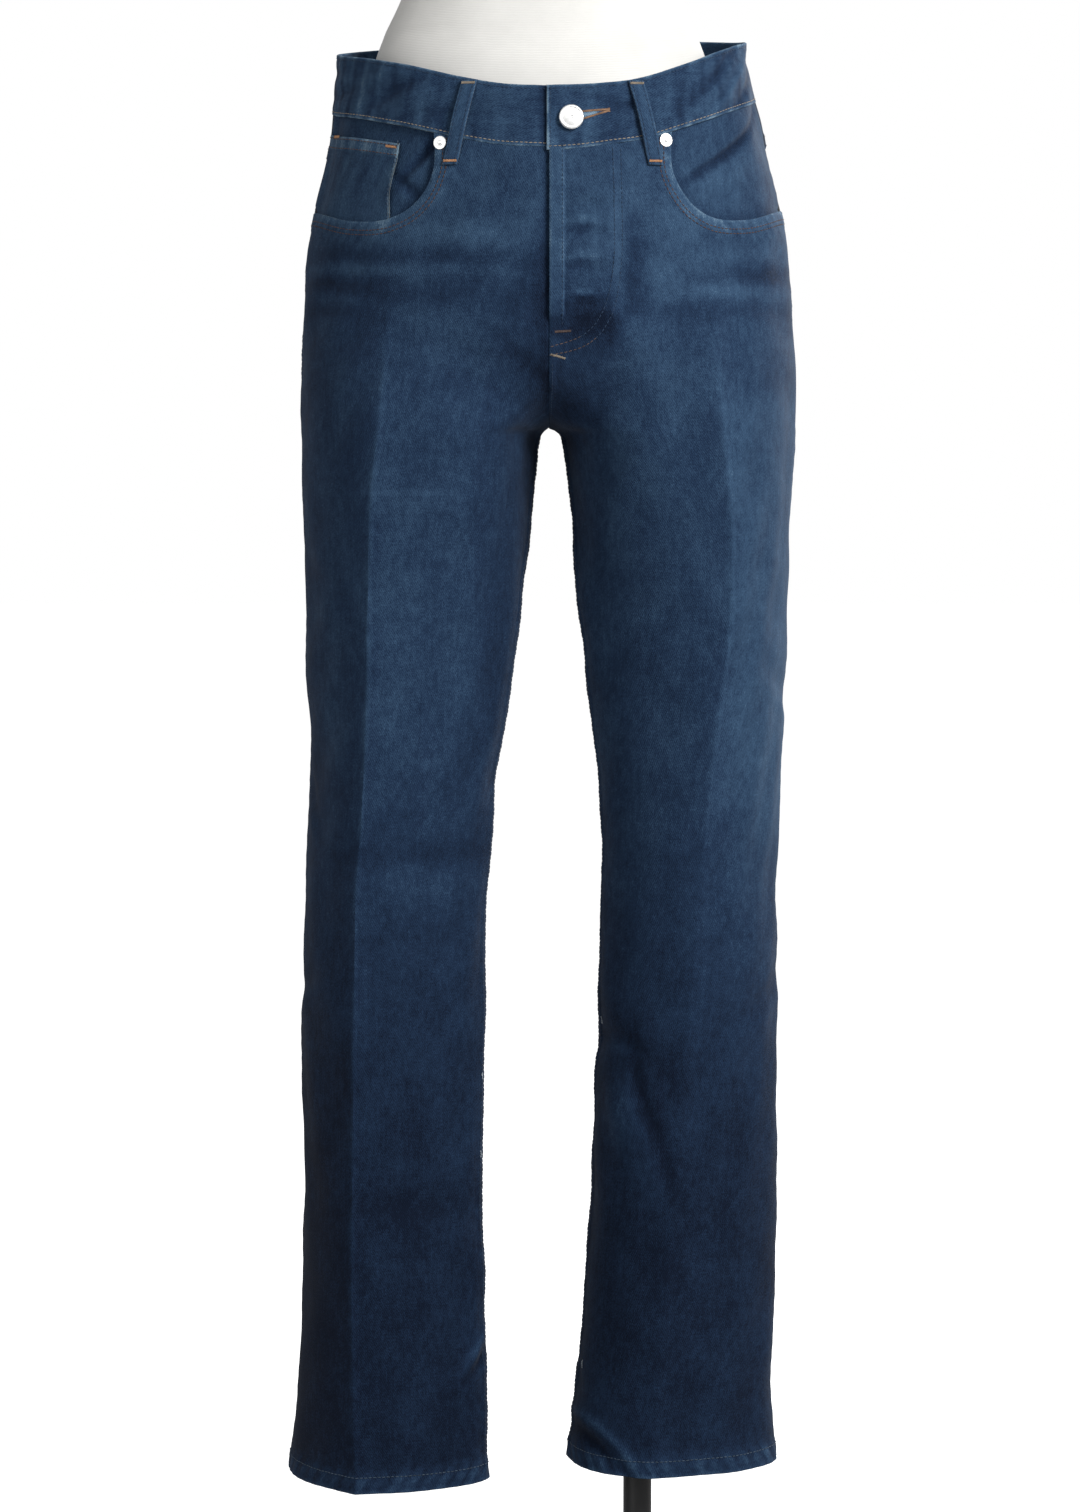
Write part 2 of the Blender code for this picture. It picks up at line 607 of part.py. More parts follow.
def back_pocket(side, name):
    """A plain patch with a pointed foot, narrower at the foot than at the mouth."""
    columns, rows = 9, 9
    middle_u = share_from_back(side, POCKET_LEVEL_Z, POCKET_IN + POCKET_WIDTH / 2)
    outer, inner = [], []
    for i in range(rows):
        down = i / (rows - 1)
        places = []
        for j in range(columns + 1):
            across = j / columns - 0.5  # from the outer edge to the edge by the centre back
            drop = POCKET_HEIGHT - POCKET_POINT * 2 * abs(across)
            z = yoke_seam(side, middle_u) - POCKET_DROP - POCKET_TILT * across - down * drop
            width = POCKET_WIDTH * lerp(1, POCKET_FOOT, down)
            distance = POCKET_IN + POCKET_WIDTH / 2 - across * width
            places.append((share_from_back(side, z, distance), z))
        outer.append([point(side, u, z, POCKET_GAP + POCKET_WALL) for u, z in places])
        inner.append([point(side, u, z, POCKET_GAP) for u, z in places])
    wall(name, outer, inner)


def turned(name, profile, centre, axis, finish, segments):
    """A solid turned about an axis through centre, from (radius, height) pairs, foot to top."""
    axis = np.array(axis, float) / np.linalg.norm(axis)
    side_on = np.array([0.0, 0.0, 1.0]) if abs(axis[2]) < 0.9 else np.array([1.0, 0.0, 0.0])
    across = np.cross(side_on, axis)
    across /= np.linalg.norm(across)
    along = np.cross(axis, across)
    vertices, faces, rings = [], [], []
    for radius, height in profile:
        count = segments if radius > 0 else 1
        rings.append(range(len(vertices), len(vertices) + count))
        for k in range(count):
            angle = 2 * math.pi * k / segments
            spoke = math.cos(angle) * across + math.sin(angle) * along
            vertices.append(np.array(centre) + radius * spoke + height * axis)
    for low, high in zip(rings, rings[1:]):
        for k in range(segments):
            after = (k + 1) % segments
            if len(high) == 1:
                faces.append((low[k], low[after], high[0]))
            else:
                faces.append((low[k], low[after], high[after], high[k]))
    faces += [tuple(ring) for ring in (rings[0], rings[-1]) if len(ring) > 1]
    add(name, vertices, faces, finish)


def front_fitting(name, side, z, x, lift, profile):
    """A turned fitting that stands on the front, x from the centre."""
    u = share_at_x(side, z, x)
    seat, way_out = point(side, u, z, lift), bare_normal(side, u, z)
    turned(name, profile, seat, way_out, NICKEL, FITTING_SEGMENTS)


def trouser_form(name):
    """A smooth hip form. It meets the jeans at the hips, is closed on top, and its foot is drawn
    in to a flat underside over the crotch."""
    loop = [(LEFT, u) for u in (*FRONT_SHARES, *BACK_SHARES[1:])]
    loop += [(RIGHT, u) for u in (*BACK_SHARES[-2::-1], *FRONT_SHARES[-2:0:-1])]
    body = [[point(side, u, z, -inset) for side, u in loop] for z, inset in FORM_BODY]
    top = [[(p[0] * share, p[1] * share, z) for p in body[0]] for z, share in FORM_TOP]
    foot = [[(p[0] * share, p[1] * share, z) for p in body[-1]] for z, share in FORM_FOOT]
    rings = [*top, *body, *foot]
    vertices = [p for ring in rings for p in ring]
    count = len(loop)
    faces = [tuple(range(count)), tuple(range(len(vertices) - count, len(vertices)))]
    for i in range(len(rings) - 1):
        for j in range(count):
            a, b = i * count + j, i * count + (j + 1) % count
            faces.append((a, a + count, b + count, b))
    add(name, vertices, faces, JERSEY, SOFT_ANGLE)


def stand_pole(name):
    """A steel tube up through the wearer's left leg, with a socket at its foot and a flange."""
    floor, flange_top = BASE + SEAM_GAP, FORM_FOOT[-1][0] - SEAM_GAP
    profile = (
        (SOCKET_RADIUS, floor),
        (SOCKET_RADIUS, BASE + SOCKET_HEIGHT - BASE_EDGE),
        (SOCKET_RADIUS - BASE_EDGE, BASE + SOCKET_HEIGHT),
        (POLE_RADIUS, BASE + SOCKET_HEIGHT),
        (POLE_RADIUS, flange_top - FLANGE),
        (FLANGE_RADIUS, flange_top - FLANGE),
        (FLANGE_RADIUS, flange_top),
    )
    turned(name, profile, (POLE_X, 0, 0), (0, 0, 1), BLACK, POLE_SEGMENTS)


def stand_base(name):
    profile = (
        (BASE_RADIUS - BASE_FOOT_EDGE, 0),
        (BASE_RADIUS, BASE_FOOT_EDGE),
        (BASE_RADIUS, BASE - BASE_EDGE),
        (BASE_RADIUS - BASE_EDGE, BASE),
    )
    turned(name, profile, (0, 0, 0), (0, 0, 1), BLACK, BASE_SEGMENTS)


for old in list(bpy.data.objects):
    bpy.data.objects.remove(old, do_unlink=True)

for side, word in ((RIGHT, "right"), (LEFT, "left")):
    front_panel(side, "front_panel_" + word)
    back_panel(side, "back_panel_" + word)
    yoke(side, "back_yoke_" + word)
    pocket_facing(side, "pocket_facing_" + word)
    back_pocket(side, "back_pocket_" + word)
    loop_top, loop_foot = (share_at_x(side, WAIST_FIT_Z, x) for x in FRONT_LOOP[side])
    side_belt_loop(side, "belt_loop_front_" + word, loop_top, loop_foot)
    side_belt_loop(side, "belt_loop_side_" + word, SIDE_LOOP_U, SIDE_LOOP_U)
    front_fitting("rivet_" + word, side, RIVET_Z[side], RIVET_X[side], SEAM_GAP, RIVET)
coin_pocket("coin_pocket")
waistband("waistband")
centre_belt_loop("belt_loop_centre_back")
button_lift = BAND_OUT + BAND_WALL + 2 * SEAM_GAP
front_fitting("shank_button", LEFT, BUTTON_Z, BUTTON_X, button_lift, BUTTON)
trouser_form("trouser_form")
stand_pole("stand_pole")
stand_base("stand_base")
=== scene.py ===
"""The looks of a pair of straight leg jeans on a trouser form with a pole stand.

Sizes are in millimetres and become metres where a mesh is made. +Z is up, the front faces -Y and
+X is the wearer's left. Each half of the jeans is one surface. A place on it is a share u round the
half, from the centre front or inseam (0) by the front crease (0.25), the outseam (0.5) and the back
crease (0.75) to the centre back or inseam (1), and a height z.
"""

import math

import bpy
import numpy as np
from mathutils.geometry import delaunay_2d_cdt
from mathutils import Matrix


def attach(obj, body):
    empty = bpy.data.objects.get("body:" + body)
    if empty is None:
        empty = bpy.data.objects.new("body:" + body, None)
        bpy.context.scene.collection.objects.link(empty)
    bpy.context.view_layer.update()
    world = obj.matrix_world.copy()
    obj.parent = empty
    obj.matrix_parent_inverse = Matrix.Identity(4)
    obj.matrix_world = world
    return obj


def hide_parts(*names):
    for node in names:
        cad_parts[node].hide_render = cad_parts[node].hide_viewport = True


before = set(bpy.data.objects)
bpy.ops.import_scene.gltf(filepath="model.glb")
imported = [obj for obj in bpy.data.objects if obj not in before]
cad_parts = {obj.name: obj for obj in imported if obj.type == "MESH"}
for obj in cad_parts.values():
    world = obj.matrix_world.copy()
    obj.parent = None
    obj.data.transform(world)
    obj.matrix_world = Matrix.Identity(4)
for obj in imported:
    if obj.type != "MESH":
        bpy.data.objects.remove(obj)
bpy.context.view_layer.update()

# ---- Studio ---------------------------------------------------------------------------------
# A pale floor, a large soft key at the front on the wearer's left, a weaker light on the other side
# and one behind, and a camera three metres away, level with the crotch and tilted a little down.

CAMERA_PLACE, CAMERA_TILT, CAMERA_LENS = (-0.0066, -3.0, 0.905), 85.0, 97.6
FLOOR_SIZE, FLOOR_GREY, FLOOR_GLOW = 30.0, 0.55, 0.86
AMBIENT, BACKDROP, STUDIO_GLOSS = 0.30, 1.0, 0.9
LIGHTS = (  # name, place, aim, size, power
    ("key", (1.55, -1.75, 1.95), (0.0, 0.0, 0.80), 1.1, 73.0),
    ("fill", (-1.9, -2.3, 1.3), (0.0, 0.0, 0.80), 1.6, 13.0),
    ("rim", (1.35, 1.8, 1.6), (0.0, 0.0, 0.62), 1.2, 44.0),
)


def add_node(tree, kind, inputs=None, **settings):
    """A node with its settings, and its inputs set to a value or joined to a socket."""
    node = tree.nodes.new(kind)
    for key, value in settings.items():
        setattr(node, key, value)
    for key, value in (inputs or {}).items():
        if isinstance(value, bpy.types.NodeSocket):
            tree.links.new(value, node.inputs[key])
        else:
            node.inputs[key].default_value = value
    return node


def new_material(name):
    """A material with an empty tree but its output, and that tree."""
    material = bpy.data.materials.new(name)
    material.use_nodes = True
    material.node_tree.nodes.clear()
    return material, material.node_tree


def surface_look(tree, inputs):
    """Ends a material's tree in one Principled surface."""
    skin = add_node(tree, "ShaderNodeBsdfPrincipled", inputs)
    add_node(tree, "ShaderNodeOutputMaterial", {"Surface": skin.outputs[0]})


def link_object(name, data):
    made = bpy.data.objects.new(name, data)
    bpy.context.scene.collection.objects.link(made)
    return made


def aim_at(thing, target):
    """Turns a light's -Z axis to a target."""
    way = np.array(target) - np.array(thing.location)
    pan = math.atan2(-way[0], way[1])
    tilt = math.atan2(math.hypot(way[0], way[1]), -way[2])
    thing.rotation_euler = (tilt, 0, pan)


camera_data = bpy.data.cameras.new("camera")
camera_data.lens = CAMERA_LENS
camera_data.sensor_width = 36
camera = link_object("camera", camera_data)
camera.location = CAMERA_PLACE
camera.rotation_euler = (math.radians(CAMERA_TILT), 0, 0)
bpy.context.scene.camera = camera
bpy.context.scene.view_settings.view_transform = "Standard"

for name, place, aim, size, power in LIGHTS:
    lamp = bpy.data.lights.new(name, "AREA")
    lamp.shape = "DISK"
    lamp.size = size
    lamp.energy = power
    light = link_object(name, lamp)
    light.location = place
    aim_at(light, aim)

world = bpy.data.worlds.new("soft_white")
bpy.context.scene.world = world
world.use_nodes = True
world.node_tree.nodes.clear()
ray = add_node(world.node_tree, "ShaderNodeLightPath").outputs
strength = add_node(
    world.node_tree,
    "ShaderNodeMapRange",
    {"Value": ray["Is Glossy Ray"], "To Min": AMBIENT, "To Max": STUDIO_GLOSS},
).outputs[0]
strength = add_node(
    world.node_tree,
    "ShaderNodeMapRange",
    {"Value": ray["Is Camera Ray"], "To Min": strength, "To Max": BACKDROP},
).outputs[0]
sky = add_node(world.node_tree, "ShaderNodeBackground", {"Color": (1, 1, 1, 1), "Strength": strength})
add_node(world.node_tree, "ShaderNodeOutputWorld", {"Surface": sky.outputs[0]})

floor_look, tree = new_material("pale_floor")
seen = add_node(tree, "ShaderNodeLightPath").outputs["Is Camera Ray"]
glow = add_node(tree, "ShaderNodeMath", {0: seen, 1: FLOOR_GLOW}, operation="MULTIPLY").outputs[0]
surface_look(
    tree,
    {
        "Base Color": (FLOOR_GREY, FLOOR_GREY, FLOOR_GREY, 1),
        "Roughness": 1.0,
        "Specular IOR Level": 0.0,
        "Emission Color": (1, 1, 1, 1),
        "Emission Strength": glow,
    },
)
floor_mesh = bpy.data.meshes.new("floor")
half = FLOOR_SIZE / 2
corners = [(-half, -half, 0), (half, -half, 0), (half, half, 0), (-half, half, 0)]
floor_mesh.from_pydata(corners, [], [(0, 1, 2, 3)])
floor_mesh.materials.append(floor_look)
floor = link_object("floor", floor_mesh)

# ---- Front and back panels ------------------------------------------------------------------
# Two fronts and two backs of heavy indigo twill, cut to the leg, pressed along the crease and
# sewn together. The pocket mouths, the fly's edge and the hems are folded and stitched down.

MM = 0.001
RIGHT, LEFT = -1, 1
SIDES = (RIGHT, LEFT)
WORD = {RIGHT: "right", LEFT: "left"}
FRONT, BACK = -1, 1
CLOTH = 1.4
CROTCH_Z, CROTCH_Y = 881.0, 4.0
HEM_Z = {RIGHT: 107.0, LEFT: 119.0}
HEM_DEPTH, HEM_LIFT, HEM_SINK, HEM_EDGE = 14.0, 0.8, 0.6, 1.2
HEM_RIPPLE, HEM_LEAN = 12.5, 0.7  # how far apart its slanting ripples lie, and how much they lean
FRONT_CURVE, BACK_CURVE, LEG_ROUND = 78.0, 125.0, 8.0  # heights of the curves at the crotch
HIP_Z, BAND_HEIGHT = 1000.0, 43.0
YOKE_SIDE, YOKE_CENTRE = 32.0, 62.0

# The top edge of the band, from the centre front to the centre back: u, right, left
WAIST = (
    (0.00, 1122.8, 1122.8),
    (0.07, 1124.4, 1124.2),
    (0.14, 1129.6, 1128.2),
    (0.23, 1137.8, 1138.7),
    (0.34, 1145.8, 1151.6),
    (0.45, 1150.2, 1159.4),
    (0.60, 1156.5, 1163.5),
    (0.80, 1165.0, 1168.5),
    (1.00, 1170.0, 1170.0),
)
# Depth of the centre front and the centre back: z, front, back
TORSO = (
    (1175, 94, 92),
    (1125, 97, 98),
    (1080, 101, 109),
    (1035, 105, 120),
    (990, 107, 127),
    (940, 106, 128),
    (881, 104, 122),
)
# A leg's outline at each height: z, how far out the outseam and the inseam lie, the front crease's
# place, the back crease's place, how far the outseam is turned back, and how sharp the press is
LEG = {
    RIGHT: (
        (1148, 154, 6, 100, 90, 98, 100, 4, 0.0),
        (1125, 155, 6, 102, 92, 99, 104, 5, 0.0),
        (1102, 157, 6, 104, 94, 100, 108, 6, 0.0),
        (1070, 163, 6, 106, 96, 101, 112, 7, 0.0),
        (1037, 171, 6, 108, 98, 102, 116, 8, 0.05),
        (1000, 177, 6, 111, 100, 100, 118, 9, 0.2),
        (940, 180, 6, 116, 102, 96, 118, 10, 0.4),
        (881, 181, 6, 121, 101, 92, 115, 11, 0.5),
        (838, 181, 10, 126, 98, 88, 107, 12, 0.6),
        (765, 179, 19, 129, 91, 86, 97, 14, 0.7),
        (691, 178, 29, 130, 85, 86, 89, 15, 0.75),
        (617, 177, 40, 134, 79, 87, 82, 15, 0.75),
        (543, 180, 45, 139, 75, 88, 77, 15, 0.8),
        (432, 183, 48, 141, 71, 91, 72, 16, 0.8),
        (319, 182, 49, 143, 68, 93, 69, 16, 0.8),
        (206, 186, 47, 143, 66, 95, 67, 16, 0.8),
        (150, 190, 46, 142, 66, 96, 66, 16, 0.8),
        (107, 194, 45, 141, 66, 97, 66, 16, 0.8),
    ),
    LEFT: (
        (1148, 142, 8, 98, 90, 96, 100, 4, 0.0),
        (1125, 148, 8, 101, 92, 98, 104, 5, 0.0),
        (1102, 154, 8, 104, 94, 100, 108, 6, 0.0),
        (1070, 161, 8, 107, 96, 101, 112, 7, 0.0),
        (1037, 169, 8, 109, 98, 102, 116, 8, 0.05),
        (1000, 175, 8, 112, 100, 100, 118, 9, 0.15),
        (940, 179, 8, 118, 102, 96, 118, 10, 0.3),
        (881, 180, 8, 123, 101, 92, 115, 11, 0.45),
        (838, 178, 14, 128, 98, 89, 107, 12, 0.55),
        (765, 175, 20, 130, 91, 88, 97, 12, 0.6),
        (691, 173, 29, 123, 85, 91, 89, 9, 0.5),
        (617, 170, 37, 114, 80, 95, 82, 6, 0.4),
        (543, 169, 38, 108, 76, 98, 77, 4, 0.35),
        (432, 168, 35, 99, 72, 101, 73, 1, 0.3),
        (319, 169, 31, 90, 69, 104, 70, -1, 0.3),
        (206, 167, 24, 81, 67, 107, 67, -3, 0.3),
        (160, 166, 19, 77, 66, 108, 66, -3, 0.3),
        (119, 169, 15, 73, 66, 109, 66, -3, 0.3),
    ),
}
# How a section's curve leaves and meets its corners on an oval, a round leg and a pressed leg
OVAL_LEAVE, ROUND_LEAVE, PRESS_LEAVE = (1.87, 0.76), (1.66, 0.0), (2.0, 1.0)
OVAL_REACH, ROUND_REACH, PRESS_REACH = 1.12, 1.66, 1.0
OVAL_CENTRE, OVAL_ARRIVE = 1.1, 0.8
# How the surface passes from the seat to the legs, and where the press lines begin
CROTCH_ROOM, CROTCH_DEPTH, CROTCH_FADE, LEG_FADE, EDGE_HOLD = 0.7, 0.9, 60.0, 170.0, 5
PRESS_TOP, PRESS_FADE = {FRONT: 881.0, BACK: 770.0}, 119.0

# Soft troughs, and ridges where the depth is negative, the broad ones first: side, u, z, length,
# width, slant in degrees, bend of the line up at its ends, depth
FOLDS = (
    (RIGHT, 0.16, 322, 120, 40, 4, 0, 2.2),
    (RIGHT, 0.12, 180, 110, 44, -14, 0, -1.8),
    (RIGHT, 0.42, 640, 150, 60, 30, 0, 2.0),
    (RIGHT, 0.80, 600, 150, 50, 12, 0, 3.2),
    (RIGHT, 0.88, 550, 120, 44, -16, 0, 2.5),
    (RIGHT, 0.72, 300, 130, 50, 10, 0, 2.2),
    (RIGHT, 0.88, 825, 110, 46, 24, 0, 2.4),
    (LEFT, 0.10, 432, 110, 42, -16, 0, 2.6),
    (LEFT, 0.17, 372, 130, 44, -52, 0, -2.4),
    (LEFT, 0.12, 165, 110, 44, -22, 0, -2.4),
    (LEFT, 0.40, 560, 160, 60, -24, 0, 2.2),
    (LEFT, 0.80, 590, 150, 50, -12, 0, 3.2),
    (LEFT, 0.88, 535, 120, 44, 14, 0, 2.5),
    (LEFT, 0.74, 330, 140, 50, -8, 0, 2.2),
    (LEFT, 0.88, 825, 110, 46, -24, 0, 2.4),
    # whiskers across the hips and down to the crotch
    (RIGHT, 0.18, 1004, 150, 10, 2, -3, 0.5),
    (RIGHT, 0.30, 988, 110, 9, 1, -3, 0.5),
    (RIGHT, 0.31, 968, 110, 9, 3, -4, 0.45),
    (RIGHT, 0.22, 944, 150, 12, 8, -8, 0.5),
    (RIGHT, 0.05, 936, 64, 11, 40, 0, 0.9),
    (RIGHT, 0.12, 915, 110, 11, 24, -6, 0.6),
    (RIGHT, 0.10, 892, 90, 10, 30, -5, 0.6),
    (LEFT, 0.30, 1014, 110, 9, -4, -4, 0.4),
    (LEFT, 0.32, 992, 150, 10, 2, -4, 0.5),
    (LEFT, 0.31, 968, 120, 9, -2, -4, 0.45),
    (LEFT, 0.22, 950, 140, 12, 6, -7, 0.5),
    (LEFT, 0.12, 918, 110, 12, 24, -6, 0.7),
    (LEFT, 0.09, 893, 80, 10, 30, -5, 0.5),
    # the knee, the calves and the hems
    (RIGHT, 0.15, 576, 110, 24, 0, 0, 1.0),
    (LEFT, 0.09, 440, 76, 13, 2, -10, 2.0),
    (LEFT, 0.17, 402, 74, 12, -66, 6, 2.0),
    (LEFT, 0.225, 354, 86, 13, -66, 0, 1.8),
    (LEFT, 0.13, 376, 74, 30, -62, 0, -1.8),
    (LEFT, 0.13, 152, 120, 10, -17, -17, -2.2),
    (LEFT, 0.12, 140, 104, 10, -17, -13, 2.4),
    (LEFT, 0.02, 190, 50, 12, -40, 0, 1.2),
    (RIGHT, 0.19, 318, 74, 16, 2, -4, 1.4),
    (RIGHT, 0.065, 206, 46, 10, -38, 0, -1.8),
    (RIGHT, 0.055, 196, 46, 10, -30, 0, 1.8),
    # the outseams
    (RIGHT, 0.44, 618, 60, 16, 40, 0, 1.8),
    (RIGHT, 0.40, 780, 90, 18, 24, 0, 1.4),
    (RIGHT, 0.42, 480, 80, 16, -20, 0, 1.4),
    (LEFT, 0.42, 700, 90, 18, -26, 0, 1.4),
    (LEFT, 0.41, 470, 80, 16, 22, 0, 1.4),
    # behind the knees, under the seat and at the back hems
    (RIGHT, 0.84, 622, 120, 18, 16, -8, 2.4),
    (RIGHT, 0.78, 575, 140, 16, -8, -6, 2.1),
    (RIGHT, 0.88, 590, 80, 14, 30, 0, 1.8),
    (RIGHT, 0.70, 540, 110, 18, 12, -4, 1.5),
    (RIGHT, 0.92, 850, 80, 13, 34, -6, 1.5),
    (RIGHT, 0.85, 822, 120, 15, 26, -8, 1.2),
    (RIGHT, 0.80, 240, 120, 16, -10, -6, 1.8),
    (RIGHT, 0.86, 180, 90, 14, 18, 0, 1.8),
    (LEFT, 0.83, 612, 130, 18, -14, -8, 2.4),
    (LEFT, 0.77, 566, 140, 16, 9, -6, 2.0),
    (LEFT, 0.88, 582, 80, 14, -28, 0, 1.8),
    (LEFT, 0.69, 640, 100, 18, -16, -4, 1.5),
    (LEFT, 0.92, 848, 80, 13, -32, -6, 1.5),
    (LEFT, 0.84, 826, 120, 15, -24, -8, 1.2),
    (LEFT, 0.79, 262, 120, 16, 12, -6, 1.8),
    # the ridges between them, and those at the outseams
    (RIGHT, 0.83, 603, 110, 14, 14, -8, -1.5),
    (RIGHT, 0.79, 556, 116, 13, -8, -6, -1.2),
    (RIGHT, 0.81, 224, 104, 14, -10, -6, -1.2),
    (RIGHT, 0.72, 655, 70, 12, 20, -4, -0.9),
    (RIGHT, 0.44, 601, 58, 13, 40, 0, -1.1),
    (RIGHT, 0.42, 465, 74, 13, -20, 0, -0.9),
    (LEFT, 0.82, 593, 118, 14, -12, -8, -1.6),
    (LEFT, 0.78, 546, 104, 13, 9, -6, -1.2),
    (LEFT, 0.80, 245, 108, 14, 12, -6, -1.1),
    (LEFT, 0.70, 622, 84, 13, -16, -4, -1.0),
    (LEFT, 0.42, 684, 80, 13, -26, 0, -0.9),
    (LEFT, 0.41, 455, 70, 13, 22, 0, -0.9),
    # the wearer's left back hem
    (LEFT, 0.87, 196, 90, 14, -20, 0, 1.8),
)
FOLD_GIRTH = 450.0  # millimetres that a whole round of u stands for
NEAR_U, NEAR_Z, SEAM_MITRE = 0.004, 1.5, 0.45
RIPPLE_WAVES, RIPPLE_SHORT, RIPPLE_LONG, RIPPLE_DEPTH, RIPPLE_SEED = 16, 26.0, 90.0, 0.16, 11

# Pocket mouths: distance from the centre, and height, from the rivet to the outseam
MOUTH = {
    RIGHT: (
        (82, 1100), (81, 1078), (82, 1065), (88, 1050), (98, 1039), (114, 1031), (140, 1030),
        (172, 1039),
    ),
    LEFT: (
        (87, 1100), (86, 1078), (87, 1065), (93, 1051), (102, 1040), (116, 1032), (140, 1031),
        (172, 1041),
    ),
}
MOUTH_FOLD, MOUTH_LIFT = 11.0, 0.5  # width and height of the folded mouth
MOUTH_POINTS = 70
FOLD_EDGE = 1.6  # how softly a folded strip steps down
FELL, FELL_LIFT, FELL_EDGE = 10.5, 0.6, 1.8  # width, height and softness of a felled seam
SEAM_SINK, SEAM_SOFT = 0.5, 2.2  # how deep, and how far out, a seam pulls the cloth in
PUCKER, PUCKER_LENGTH, PUCKER_REACH = 0.16, 13.0, 9.0
FLY_STRIP, FLY_FACING, FLY_FOOT_Z = 10.0, 47.0, 957.0
FLY_STRIP_LIFT, FLY_FACING_LIFT, FLY_SOFT, FLY_RUN = 1.3, 2.7, 7.0, 8.0
FLY_GROOVE, FLY_BUTTONS = 0.5, (1048.0, 1029.0, 1004.0, 979.0)
FLY_BAR_X, FLY_BAR_WIDTH, FLY_MARK_X, FLY_MARK_STRAY, FLY_MARK_WIDTH = 31.0, 33.8, 29.0, 6.0, 24.0
# What each button behind the fly presses into it, and the pale mark it rubs there with painted shade in
# the dip under it: height off it, how much, width
FLY_BAR = ((0.0, 1.5, 12.0), (-9.0, -1.2, 8.0))
FLY_MARK = ((0.0, 0.34, 3.8), (-6.5, -0.20, 8.0))
LAP_LIFT, LAP_WIDTH = 0.9, 4.0  # the lapped seam below the fly
CROTCH_RUN = 20.0  # over what height the fly's folds pass into the inseam
EDGE_ROLL = 0.7  # radius of a folded edge
CLOTH_SHARP = 48  # degrees from which an edge of cloth is sharp

# Spacing of points: the ends of each stretch of u or z, and how many steps it has
FRONT_COLUMNS = ((0, 0.026, 12), (0.026, 0.24, 32), (0.24, 0.26, 8), (0.26, 0.478, 32), (0.478, 0.5, 9))
BACK_COLUMNS = ((0.5, 0.522, 9), (0.522, 0.74, 32), (0.74, 0.76, 6), (0.76, 0.974, 32), (0.974, 1, 12))
LEG_ROWS = ((1000, 900, 28), (900, 860, 20), (860, 0, 200), (0, -13, 4), (-13, -14, 9))
HIP_ROWS = 26
MOUTH_CLEAR = 0.9  # points of the grid stay this far from the mouth's own

DENIM_TONES = (  # where on the scale from unworn to worn through, and the colour there
    (0.0, (0.0034, 0.0072, 0.0185)),
    (0.1, (0.0062, 0.0137, 0.0325)),
    (0.3, (0.0121, 0.0276, 0.0618)),
    (0.6, (0.0362, 0.0750, 0.1350)),
    (1.0, (0.1800, 0.2700, 0.3500)),
)
DENIM_REVERSE = (0.105, 0.105, 0.100)


def lerp(a, b, share):
    return a + (b - a) * share


def smooth(share):
    share = np.clip(share, 0.0, 1.0)
    return share * share * (3 - 2 * share)


def bell(distance, width):
    """1 at no distance, and near 0 from that width on."""
    return np.exp(-((2 * distance / width) ** 2))


def step_down(distance, edge, soft):
    """1 before an edge and 0 past it, with a soft step between."""
    return smooth((edge - distance) / soft + 0.5)


def streak(across, up, length, width, slant, bend=0.0):
    """A soft line, 1 at its middle, laid at a slant and with its ends turned up by bend."""
    turn = math.radians(slant)
    run = across * math.cos(turn) + up * math.sin(turn)
    off = up * math.cos(turn) - across * math.sin(turn) - bend * (2 * run / length) ** 2
    return bell(run, length) * bell(off, width)


def gone_along(points):
    """The length gone at each point of a row."""
    return np.append(0, np.cumsum(np.linalg.norm(np.diff(points, axis=0), axis=1)))


def cubic(start, end, leaving, arriving, t):
    h = 2 * t**3 - 3 * t**2 + 1
    bend = (t**3 - 2 * t**2 + t) * leaving + (t**3 - t**2) * arriving
    return h * start + (1 - h) * end + bend


def read_table(rows, at):
    """The columns of a table after its first, read smoothly at values of the first."""
    table = np.array(sorted(rows), float)
    z = table[:, 0]
    at = np.clip(at, z[0], z[-1])
    k = np.clip(np.searchsorted(z, at, side="right") - 1, 0, len(z) - 2)
    step = z[k + 1] - z[k]
    share = (at - z[k]) / step
    read = []
    for column in table[:, 1:].T:
        slopes = np.gradient(column, z)
        leaving, arriving = step * slopes[k], step * slopes[k + 1]
        read.append(cubic(column[k], column[k + 1], leaving, arriving, share))
    return read


